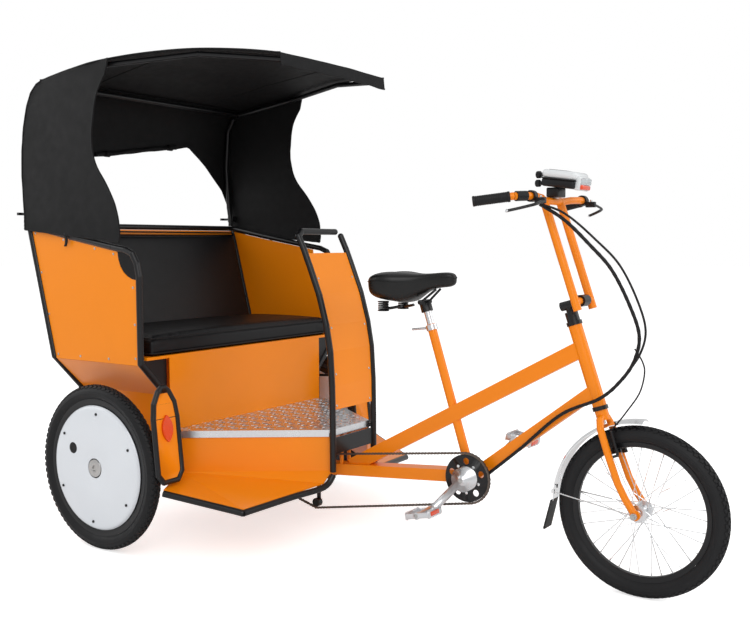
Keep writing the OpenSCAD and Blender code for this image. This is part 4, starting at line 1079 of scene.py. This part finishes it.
@dataclass
class Canopy:
    """Fabric roof, side curtains and rolled-up rear flap on the hoops."""

    roof_z: float = 1650.0
    half: float = 524.0
    thick: float = 0.0022
    rear: tuple[tuple[float, float], ...] = (
        (1160, -430), (1215, -440), (1300, -449), (1400, -450), (1480, -444), (1560, -428),
        (1604, -406), (1628, -380), (1638, -352), (1640, -334))

    def stations(self) -> list[tuple[float, float, float, float]]:
        """Roof sections: x, half width, edge height, middle height."""
        rows = ((-334, 0, -4, 0.0), (-200, 0, 16, 0.6), (-20, 0, 31, 1.0), (150, 54, 45, 1.0),
                (300, 112, 49, 0.8), (450, 172, 40, 0.5), (578, 222, 24, 0.1))
        return [(x, self.half - d, self.roof_z + e, self.roof_z + e + 2 + 34 * c)
                for x, d, e, c in rows]

    def _sheet(self, name: str,
               rows: list[list[Vector]]) -> tuple[bpy.types.Object, float]:
        """Builds a cloth sheet from rows of points, with thickness and length-true UVs.

        Args:
            name: name of the piece.
            rows: rows of points, all of one length.

        Returns:
            The sheet and the area of its middle surface.
        """
        m = len(rows[0])
        verts, uv, faces, area = [], [], [], 0.0
        down = 0.0
        for i, row in enumerate(rows):
            down += (row[m // 2] - rows[i - 1][m // 2]).length if i else 0.0
            along = 0.0
            for k, p in enumerate(row):
                along += (p - row[k - 1]).length if k else 0.0
                verts.append(p)
                uv.append((along, down))
        for i in range(len(rows) - 1):
            for k in range(m - 1):
                a, b = i * m + k, i * m + k + 1
                c, d = b + m, a + m
                faces.append((a, b, c, d))
                area += ((verts[b] - verts[a]).cross(verts[c] - verts[a]).length
                         + (verts[c] - verts[a]).cross(verts[d] - verts[a]).length) / 2
        piece = build(name, verts, faces, CANOPY_CLOTH, 70, uv, outward=False)
        solid = piece.modifiers.new("cloth thickness", "SOLIDIFY")
        solid.thickness = self.thick
        solid.offset = 0.0
        applied(piece)
        piece.data.shade_smooth()
        piece.data.set_sharp_from_angle(angle=math.radians(70))
        return piece, area

    def _hem(self, name: str, line: Sequence[Vector],
             radius: float = 0.0032) -> bpy.types.Object:
        """A turned and stitched hem along an edge."""
        return swept(name, line, lambda s, a: radius * (1 + 0.12 * math.sin(s * 260)),
                     CANOPY_CLOTH, 8)

    def roof(self) -> None:
        """The roof: one sheet over the bows, with a hem and a front valance."""
        stations, rows = self.stations(), []
        samples = smooth_line([Vector((x, w, e)) for x, w, e, _ in stations], 7)
        middles = smooth_line([Vector((x, 0, m)) for x, _, _, m in stations], 7)
        bows = (-334.0, -20.0, 300.0, 562.0)
        for s, m in zip(samples, middles):
            gap = min(abs(s.x - b) for b in bows)
            sag = 7.0 * math.sin(min(1.0, gap / 150) * math.pi / 2)
            row = []
            for k in range(41):
                u = -1 + k / 20
                ripple = 1.6 * noise.noise(Vector((s.x / 120, u * 3, 1.7)))
                z = (s.z + (m.z - s.z) * (1 - u * u) - sag * (1 - u ** 4) - 2.0
                     + ripple * (1 - u ** 8))
                row.append(at(s.x, s.y * u, z))
            rows.append(row)
        edge = rows[-1]
        front = [[p + Vector((0.0035 + 0.004 * t, 0, -0.040 * t
                              + 0.0016 * math.sin(p.y * 40) * t)) for p in edge]
                 for t in (0.0, 0.15, 0.4, 0.7, 1.0)]
        rows += front
        piece, area = self._sheet("canopy_roof_cloth", rows)
        hems = [self._hem("roof_hem_front", rows[-1]),
                self._hem("roof_hem_right", [r[0] for r in rows[:-4]]),
                self._hem("roof_hem_left", [r[-1] for r in rows[:-4]]),
                self._hem("roof_hem_rear", rows[0])]
        seams = [self._hem("roof_seam", [r[k] - Vector((0, 0, 0.0016)) for r in rows[:-5]], 0.0018)
                 for k in (8, 32)]
        piece = joined("canopy_roof_cloth", [piece] + hems + seams)
        finished(piece, "chassis", "canopy_roof")

    def side_y(self, z: float) -> float:
        """Half width of the curtains' inner face at a height."""
        share = min(1.0, max(0.0, (self.roof_z - z) / (self.roof_z - 1142)))
        return self.half + 0.3 + 27.6 * share

    def curtain(self, name: str, side: int) -> None:
        """One side curtain, its curved front edge, hems and hanging strap."""
        front = ((1058, 78), (1095, 82), (1165, 68), (1240, 25), (1330, -45), (1410, -68),
                 (1480, -65), (1570, -45), (1650, 10))
        edge_line = smooth_line([Vector((x, 0, z)) for z, x in front[::-1]], 6)
        roof = [(x, e) for x, _, e, _ in self.stations()]
        rows, count = [], 26
        for i, e in enumerate(edge_line):
            z = e.z
            x0 = lookup(min(z, self.roof_z - 12), self.rear)
            row = []
            for k in range(count + 1):
                t = k / count
                x = x0 + (e.x - x0) * t
                zz = z
                if z > 1630:
                    zz = 1630 + (z - 1630) * (lookup(x, roof) - 1 - 1630) / 20
                elif z <= 1150:
                    zz = z + (1 - t) * 48 * min(1.0, (1150 - z) / 55)
                fold = 1.3 * math.sin(t * 9 + zz / 70) * math.sin((self.roof_z - zz) / 590 * 3.1)
                row.append(at(x, side * (self.side_y(zz) + 2.2 + max(-1.4, min(1.4, fold))), zz))
            rows.append(row)
        piece, area = self._sheet("canopy_curtain_cloth_" + name, rows)
        parts = [piece, self._hem("hem_front", [r[-1] for r in rows]),
                 self._hem("hem_low", rows[-1]), self._hem("hem_rear", [r[0] for r in rows])]
        strap = []
        for k in range(12):
            t = k / 11
            strap.append(at(-205 + 10 * math.sin(t * 3), side * (553.8 + 0.6 * math.sin(5 * t)),
                            1092 - 48 * t))
        parts.append(self._ribbon("hanging_strap", strap, 0.014))
        piece = joined("canopy_curtain_cloth_" + name, parts)
        finished(piece, "chassis", "canopy_side_" + name)

    def _ribbon(self, name: str, line: Sequence[Vector], width: float,
                across: Vector = Vector((1, 0, 0))) -> bpy.types.Object:
        """A flat strap along a line."""
        verts, faces = [], []
        for p in line:
            verts += [p - across * width / 2, p + across * width / 2]
        for i in range(len(line) - 1):
            faces.append((2 * i, 2 * i + 1, 2 * i + 3, 2 * i + 2))
        piece = build(name, verts, faces, CANOPY_CLOTH, 70,
                      [(i % 2 * width, i * 0.01) for i in range(len(verts))], outward=False)
        solid = piece.modifiers.new("strap thickness", "SOLIDIFY")
        solid.thickness = 0.0016
        return applied(piece)

    def back(self) -> None:
        """The back: a band, a rolled-up flap over the window, and wings down the sides."""
        hem = [(-1, 1188), (-0.97, 1240), (-0.93, 1300), (-0.75, 1370), (-0.56, 1440),
               (-0.4, 1398), (-0.2, 1412), (0, 1430), (0.2, 1446), (0.4, 1460), (0.55, 1476),
               (0.75, 1400), (0.93, 1300), (0.97, 1240), (1, 1188)]
        dense = [(k / 30 - 1, lookup(k / 30 - 1, hem)) for k in range(61)]
        top = [(-330, 1643.2), (-342, 1641.5), (-356, 1637.2), (-382, 1627.5), (-396, 1617),
               (-408, 1603.5), (-421, 1582), (-430, 1559.5), (-439, 1520), (-445.5, 1480)]
        rows = []
        for x, z in top:
            rows.append([at(x + 2, u * (self.side_y(z) - 1.6), z - (1.5 if z > 1600 else 0)
                            + (1.2 * noise.noise(Vector((u * 6, z / 60, 3))) if z < 1600 else 0))
                         for u, _ in dense])
        for t in (0.12, 0.25, 0.4, 0.55, 0.7, 0.85, 1.0):
            row = []
            for u, low in dense:
                z = 1480 + (low - 1480) * t
                slack = 1.5 * math.sin(u * 17 + t * 3) * min(1.0, (1480 - z) / 60)
                row.append(at(lookup(z, self.rear) + 1.6 + max(-0.8, min(1.2, slack)),
                              u * (self.side_y(z) - 1.6), z))
            rows.append(row)
        piece, area = self._sheet("canopy_back_cloth", rows)
        edge = rows[-1]
        roll = []
        for k in range(17):
            u = -0.4 + 0.8 * k / 16
            z = lookup(u, hem) + 3
            roll.append(at(lookup(z, self.rear) + 11.5, u * (self.side_y(z) - 1.6), z + 3))
        parts = [piece, self._hem("back_hem", edge, 0.0026),
                 swept("rolled_flap", smooth_line(roll, 5), self._roll_radius, CANOPY_CLOTH, 18)]
        for u in (-0.3, 0.33):
            z = lookup(u, hem) + 6
            mid = at(lookup(z, self.rear) + 11.5, u * (self.side_y(z) - 1.6), z)
            loop = [mid + Vector((0.0125 * math.cos(a), 0, 0.0125 * math.sin(a)))
                    for a in [2 * math.pi * k / 24 for k in range(24)]]
            parts.append(self._band(loop, 0.022))
        piece = joined("canopy_back_cloth", parts)
        finished(piece, "chassis", "canopy_back")

    @staticmethod
    def _roll_radius(share: float, angle: float) -> float:
        """Uneven radius of the rolled-up flap."""
        spiral = 0.0009 * ((angle * 1.5 / math.pi) % 1.0)
        return 0.0088 + spiral + 0.0012 * math.sin(share * 21 + angle * 2)

    def _band(self, loop: Sequence[Vector], width: float) -> bpy.types.Object:
        """A flat strap closed round the rolled flap."""
        n, verts, faces = len(loop), [], []
        for p in loop:
            verts += [p - Vector((0, width / 2, 0)), p + Vector((0, width / 2, 0))]
        for i in range(n):
            j = (i + 1) % n
            faces.append((2 * i, 2 * i + 1, 2 * j + 1, 2 * j))
        piece = build("roll_strap", verts, faces, CANOPY_CLOTH, 70,
                      [(i % 2 * width, i * 0.003) for i in range(2 * n)], outward=True)
        solid = piece.modifiers.new("strap thickness", "SOLIDIFY")
        solid.thickness = 0.0014
        return applied(piece)

    def make(self) -> None:
        """Builds every cloth of the canopy."""
        self.roof()
        for name, side in SIDES:
            self.curtain(name, side)
        self.back()


# ---------- controls ----------


@dataclass
class Controls:
    """Grips, brake levers, lamp housing and cables."""

    bar_end: tuple[float, float, float] = (1299.62, 312.0, 1169.91)
    bar_in: tuple[float, float, float] = (1395.62, 256.0, 1183.91)

    def grips(self) -> None:
        """Ribbed rubber grips with flanges."""
        parts = []
        for side in (-1, 1):
            end = at(self.bar_end[0], side * self.bar_end[1], self.bar_end[2])
            back = at(self.bar_in[0], side * self.bar_in[1], self.bar_in[2])
            way = (back - end).normalized()
            length = min(128.0, (back - end).length * 1000 - 8)
            profile = [(0, -3), (13, -3), (15.4, -1.5), (15.4, 3)]
            ribs = int((length - 14) / 5)
            for k in range(ribs):
                y = 6 + k * 5
                profile += [(14.1, y), (14.9, y + 1.2), (14.9, y + 2.6), (14.1, y + 3.8)]
            profile += [(15.5, length - 6), (15.5, length - 1), (14.8, length),
                        (11.4, length), (11.4, -0.3), (0, -0.3)]
            parts.append(turned("grip", profile, end, SOFT_RUBBER, 32, way))
        finished(joined("grip_pair", parts), "steering", "grips")

    def levers(self) -> None:
        """Brake levers: clamp, pivot housing, tapered blade and adjuster."""
        parts = []
        for side in (-1, 1):
            x, y, z = 1421.62, 215.0, 1185.91
            ring = [(12.2, -10), (16.8, -10), (17, -8), (17, 8), (16.8, 10), (12.2, 10)]
            parts.append(turned("lever_clamp", ring, at(x + 1.8, side * (y - 24), z),
                                BLACK_PLASTIC, 32))
            low = at(x + 14, side * (y - 24), z - 13) - Vector((0, 0.008, 0.009))
            parts.append(block("lever_housing", low, low + Vector((0.032, 0.016, 0.018)), 0.003,
                               BLACK_PLASTIC))
            blade = smooth_line([at(x + 42, side * (y - 22), z - 14),
                                 at(x + 44, side * (y + 10), z - 20),
                                 at(x + 41, side * (y + 42), z - 27),
                                 at(x + 10, side * (y + 70), z - 37),
                                 at(x - 20, side * (y + 91), z - 45)], 6)
            parts.append(swept("lever_blade", blade,
                               lambda s, a: 0.0030 + 0.0020 * abs(math.sin(a)) * (1 - 0.3 * s),
                               BLACK_TUBE, 14))
            tip = blade[-1]
            parts.append(turned("lever_tip", [(0, -5), (3.5, -3.5), (5, 0), (3.5, 3.5), (0, 5)],
                                tip, ALUMINIUM, 16))
            grip_side = [at(x - 2, side * (y + 2), z), at(x - 20, side * (y + 33), z - 1.5)]
            parts.append(swept("switch_housing", grip_side,
                               0.0146, BLACK_PLASTIC, 24))
            screw = at(x + 30, side * (y - 24), z - 3.6)
            parts.append(turned("adjuster", [(0, 0), (4, 0), (4, 5), (2.4, 6), (0, 6)], screw,
                                CHROME, 16, Vector((0.3, 0, 1))))
        finished(joined("brake_lever_pair", parts), "steering", "brake_levers")

    def lamp(self, scatter: Scatter) -> None:
        """Lamp and instrument housing: pale top, black tray, clear lens and two knobs."""
        turn = Matrix.Rotation(math.radians(8), 3, "Y")
        middle = at(1403.62 + 44, 0, 1177.91 + 62)
        pieces = []

        def part(name: str, low: tuple, high: tuple, radius: float,
                 finish: Finish) -> None:
            """Adds one rounded block, given in the housing's own millimetres."""
            a, b = Vector(low) / 1000, Vector(high) / 1000
            mid = middle + turn @ ((a + b) / 2)
            pieces.append(block(name, mid - (b - a) / 2, mid + (b - a) / 2, radius, finish, turn))
        part("case_top", (-61, -51, 2), (52, 51, 27.5), 0.011, WHITE_CASE)
        part("case_tray", (-60, -49, -24), (48, 49, 2), 0.008, BLACK_PLASTIC)
        part("case_lip", (-61.5, -51.5, -1), (50, 51.5, 3), 0.0015, BLACK_PLASTIC)
        part("screen", (-44, -34, 27.4), (14, 34, 28.6), 0.0005, BLACK_PLASTIC)
        part("lens_frame", (44, -38, -26), (62, 38, 16), 0.005, WHITE_CASE)
        part("lens", (60, -34, -8), (69.5, 34, 12), 0.0045, CLEAR_LENS)
        part("lens_back", (57, -31, -19), (61.5, 31, 9), 0.002, CHROME)
        part("lens_low", (58, -33, -23), (69, 33, -8.5), 0.004, AMBER_LENS)
        pieces.append(block("bracket", at(1395.8, -29.5, 1189.4), at(1435.4, 29.5, 1219), 0.004,
                            BLACK_PLASTIC))
        for y, z in ((-40, 18), (-40, -8)):
            spot = middle + Vector((-80 if z < 0 else -78, y, z)) / 1000
            knob = [(0, 0), (9, 0), (10.8, 2), (10.8, 13), (6, 15), (6, 21.5), (0, 21.5)]
            pieces.append(turned("knob", knob, spot, BLACK_PLASTIC, 28, Vector((1, 0, 0))))
            ridges = []
            for k in range(18):
                a = 2 * math.pi * k / 18
                out = Vector((0, math.cos(a), math.sin(a)))
                ridges.append((spot + Vector((0.0025, 0, 0)) + out * 0.0104,
                               looking(Vector((1, 0, 0)), out)))
            pieces.append(scatter("knob_ridges", peg("ridge", 0.7, 9.0, 5, BLACK_PLASTIC),
                                  ridges, BLACK_PLASTIC))
        finished(joined("lamp_housing", pieces), "steering", "headlamp")

    def cables(self) -> None:
        """The cable bundle in its wrap, and the front brake's own cable."""
        route = [at(*p) for p in (
            (1408.5, -100, 1166), (1482, -88, 1118), (1553, -68, 1045), (1613, -48, 972),
            (1663, -34, 870), (1691, -28, 783), (1680, -32, 710), (1643, -38, 649),
            (1580, -44, 590), (1452, -32, 527), (1316, -30, 405), (1205, -34, 310))]
        line = smooth_line(route, 16)
        wrap = swept("cable_bundle_piece", line,
                     lambda s, a: 0.0053 + 0.0003 * math.sin(a * 2 + s * 300), SOFT_RUBBER, 14)
        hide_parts("cable_bundle")
        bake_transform(wrap)
        second = [line[0] + Vector((0.004, 0, 0.004))]
        last = len(line) - 70
        for k in range(4, last + 1, 4):
            t = math.sin(math.pi * k / last)
            away = Vector((0.008 + 0.02 * t, -0.010, 0.008 + 0.006 * t))
            second.append(line[k] + away * min(1.0, 3 * t + 0.1))
        strand = swept("second_cable_piece", smooth_line(second, 3), 0.0034, SOFT_RUBBER, 10)
        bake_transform(strand)
        path = smooth_line(second, 3)
        route = [at(*p) for p in ((1676, -20, 742), (1698, -16, 705), (1704, -14, 670),
                                  (1690, -14, 612), (1657, -27, 556), (1634, -36, 522),
                                  (1614, -35.2, 498.2))]
        line = smooth_line(route, 10)
        thin = swept("brake_cable_piece", line, 0.0024, SOFT_RUBBER, 10)
        finished(thin, "steering", "brake_cable")

    def make(self, scatter: Scatter) -> None:
        """Builds all of the controls."""
        self.grips()
        self.levers()
        self.lamp(scatter)
        self.cables()


# ---------- cabin fittings ----------


@dataclass
class CabinFittings:
    """Small fittings on the cabin: guards, rivets and the lugs of the checker plate."""

    def step_edges(self) -> None:
        """Round tubes that follow the outer edge of each step."""
        back, apex = Vector((315, 596, 253)), Vector((560, 484, 200))
        front, low = Vector((638, 160, 228)), Vector((652, 124, 262.4))
        route = [back, back.lerp(apex, 0.5), back.lerp(apex, 0.92), apex,
                 apex.lerp(front, 0.06), apex.lerp(front, 0.6), front + Vector((4, 6, 0)), low]
        parts = []
        for _, side in SIDES:
            line = smooth_line([at(p.x + 2, side * (p.y + 2), p.z - 12.2) for p in route], 6)
            parts.append(swept("step_edge", line, 0.0108, BLACK_TUBE, 16))
        finished(joined("step_edges", parts), "chassis", "step_rails")

    def guards(self) -> None:
        """Wheel guards: an orange plate inside a black tube."""
        for name, _ in SIDES:
            node = "wheel_guard_" + name
            piece = copy_of(node, "wheel_guard_piece_" + name, BLACK_TUBE)
            piece.data.materials.append(ORANGE_PANEL.material())
            widest = max(piece.data.polygons, key=lambda f: f.area)
            normal, middle = widest.normal.copy(), widest.center.copy()
            for f in piece.data.polygons:
                off = abs((f.center - middle).dot(normal))
                if abs(f.normal.dot(normal)) > 0.995 and off < 0.0045 and f.area > 2e-4:
                    f.material_index = 1
            finished(piece, "chassis", node)

    def rivets(self, scatter: Scatter) -> None:
        """Dome rivets round the side panels and the shield."""
        places = []
        outline = ((-385, 1092), (-227, 1068), (-60, 1036), (36, 1018), (130, 905), (136, 780),
                   (136, 665), (0, 656), (-150, 656), (-272, 656), (-318, 800), (-355, 950))
        for _, side in SIDES:
            for x, z in outline:
                places.append((at(x, side * 542, z), looking(Vector((0, side, 0)))))
        for z in (490, 600, 760, 930):
            x = lookup(z, [(477, 651), (560, 650), (680, 643), (770, 627), (872, 598), (965, 560)])
            for y in (-100, 100):
                places.append((at(x + 1.6, y, z), looking(Vector((1, 0, 0.3)))))
        finished(scatter("panel_rivets", peg("rivet", 4.2, 2.0, 14, STEEL, 1.4), places, STEEL),
                 "chassis")

    def checker(self, scatter: Scatter) -> None:
        """Raised lugs on the floor plate, in pairs that turn about from one to the next."""
        lug = [(-14, 0, 0), (0, -4.2, 0), (14, 0, 0), (0, 4.2, 0), (-9, 0, 1.8), (0, -2, 1.8),
               (9, 0, 1.8), (0, 2, 1.8)]
        faces = [(3, 2, 1, 0), (4, 5, 6, 7)] + [(k, (k + 1) % 4, (k + 1) % 4 + 4, k + 4)
                                               for k in range(4)]
        item = build("lug", [Vector(v) / 1000 for v in lug], faces, ALUMINIUM, 20)
        places = []
        edge = [(180, 405), (212, 405), (628, 102)]
        pitch = 29.0
        for i in range(int(470 / pitch)):
            for k in range(-20, 21):
                x = 190 + i * pitch
                y = k * pitch + (pitch / 2 if i % 2 else 0)
                if x > 628 or abs(y) > lookup(x, edge) - 8:
                    continue
                turn = 45 if (i + k) % 2 else -45
                rot = Matrix.Rotation(math.radians(turn), 3, "Z")
                places.append((at(x, y, 406), rot))
        finished(scatter("floor_lugs", item, places, ALUMINIUM), "chassis")

    def make(self, scatter: Scatter) -> None:
        """Builds the fittings."""
        self.step_edges()
        self.guards()
        self.rivets(scatter)
        self.checker(scatter)


# ---------- studio ----------


@dataclass
class Studio:
    """Pale floor, soft lamps and the camera."""

    def make(self) -> None:
        """Sets up the floor, the world, the lamps and the camera."""
        self._floor()
        self._world()
        self._lamp("key", (3.4, -4.2, 4.4), 5.0, 150.0)
        self._lamp("fill", (4.2, 2.6, 2.6), 4.0, 60.0)
        self._lamp("rear", (-4.0, -1.5, 3.0), 4.0, 55.0)
        self._camera()
        bpy.context.scene.view_settings.view_transform = "Standard"

    def _floor(self) -> None:
        """A wide pale floor that keeps the shadow."""
        mesh = bpy.data.meshes.new("studio_floor")
        mesh.from_pydata([(-40, -40, 0), (40, -40, 0), (40, 40, 0), (-40, 40, 0)], [],
                         [(0, 1, 2, 3)])
        floor = bpy.data.objects.new("studio_floor", mesh)
        bpy.context.collection.objects.link(floor)
        mat = bpy.data.materials.new("studio_floor")
        mat.use_nodes = True
        tree = mat.node_tree
        shader = tree.nodes["Principled BSDF"]
        shader.inputs["Base Color"].default_value = (0.9, 0.9, 0.9, 1)
        shader.inputs["Roughness"].default_value = 0.9
        shader.inputs["Specular IOR Level"].default_value = 0.0
        rays = tree.nodes.new("ShaderNodeLightPath")
        glow = tree.nodes.new("ShaderNodeEmission")
        glow.inputs["Strength"].default_value = 0.6
        add = tree.nodes.new("ShaderNodeAddShader")
        mix = tree.nodes.new("ShaderNodeMixShader")
        tree.links.new(rays.outputs["Is Camera Ray"], mix.inputs[0])
        tree.links.new(shader.outputs[0], add.inputs[0])
        tree.links.new(glow.outputs[0], add.inputs[1])
        tree.links.new(shader.outputs[0], mix.inputs[1])
        tree.links.new(add.outputs[0], mix.inputs[2])
        tree.links.new(mix.outputs[0], tree.nodes["Material Output"].inputs["Surface"])
        mesh.materials.append(mat)

    def _world(self) -> None:
        """Even white surroundings, plain white to the camera and through clear parts, dimmer for
        all other rays.
        """
        world = bpy.data.worlds.new("studio")
        bpy.context.scene.world = world
        world.use_nodes = True
        tree = world.node_tree
        back = tree.nodes["Background"]
        back.inputs["Color"].default_value = (1, 1, 1, 1)
        rays = tree.nodes.new("ShaderNodeLightPath")
        both = tree.nodes.new("ShaderNodeMath")
        both.operation = "MAXIMUM"
        tree.links.new(rays.outputs["Is Camera Ray"], both.inputs[0])
        tree.links.new(rays.outputs["Is Transmission Ray"], both.inputs[1])
        level = tree.nodes.new("ShaderNodeMapRange")
        level.inputs["To Min"].default_value = 0.62
        level.inputs["To Max"].default_value = 1.0
        tree.links.new(both.outputs[0], level.inputs["Value"])
        tree.links.new(level.outputs["Result"], back.inputs["Strength"])

    def _lamp(self, name: str, place: tuple[float, float, float], size: float,
              power: float) -> None:
        """One soft area lamp aimed at the middle of the vehicle."""
        data = bpy.data.lights.new(name, "AREA")
        data.shape, data.size, data.energy = "DISK", size, power
        lamp = bpy.data.objects.new(name, data)
        lamp.location = place
        aim = Vector((0, 0, 0.9)) - Vector(place)
        lamp.rotation_euler = aim.to_track_quat("-Z", "Y").to_euler()
        bpy.context.collection.objects.link(lamp)

    def _camera(self) -> None:
        """The camera, from its place and its three axes."""
        data = bpy.data.cameras.new("camera")
        data.sensor_width = 36.0
        data.lens = 955.9012 / 750 * 36
        camera = bpy.data.objects.new("camera", data)
        right = Vector((0.82603893, 0.56360449, -0.00311056))
        up = Vector((-0.03783856, 0.06096238, 0.99742259))
        turn = Matrix((right, up, right.cross(up))).transposed()
        camera.matrix_world = Matrix.Translation((2.6139573 + AXLE_X, -2.7375916, 1.0500329)) \
            @ turn.to_4x4()
        bpy.context.collection.objects.link(camera)
        bpy.context.scene.camera = camera


def dress_packed_nodes() -> None:
    """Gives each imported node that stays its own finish."""
    for node, finish in CAD_FINISH.items():
        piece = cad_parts[node]
        piece.data.materials.clear()
        piece.data.materials.append(finish.material())
        log.info("%s keeps its shape, in %s", node, finish.name)


def main() -> None:
    """Builds every sub-assembly in order."""
    logging.basicConfig(level=logging.INFO, format="%(name)s: %(message)s")
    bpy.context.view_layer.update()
    scatter = Scatter()
    dress_packed_nodes()
    Controls().make(scatter)
    FrontWheel().make(scatter)
    for name, side in SIDES:
        RearWheel(name, side).make(scatter)
    Drive().make(scatter)
    Bench().make()
    Saddle().make()
    Canopy().make()
    CabinFittings().make(scatter)
    Studio().make()


if __name__ == "__main__":
    main()
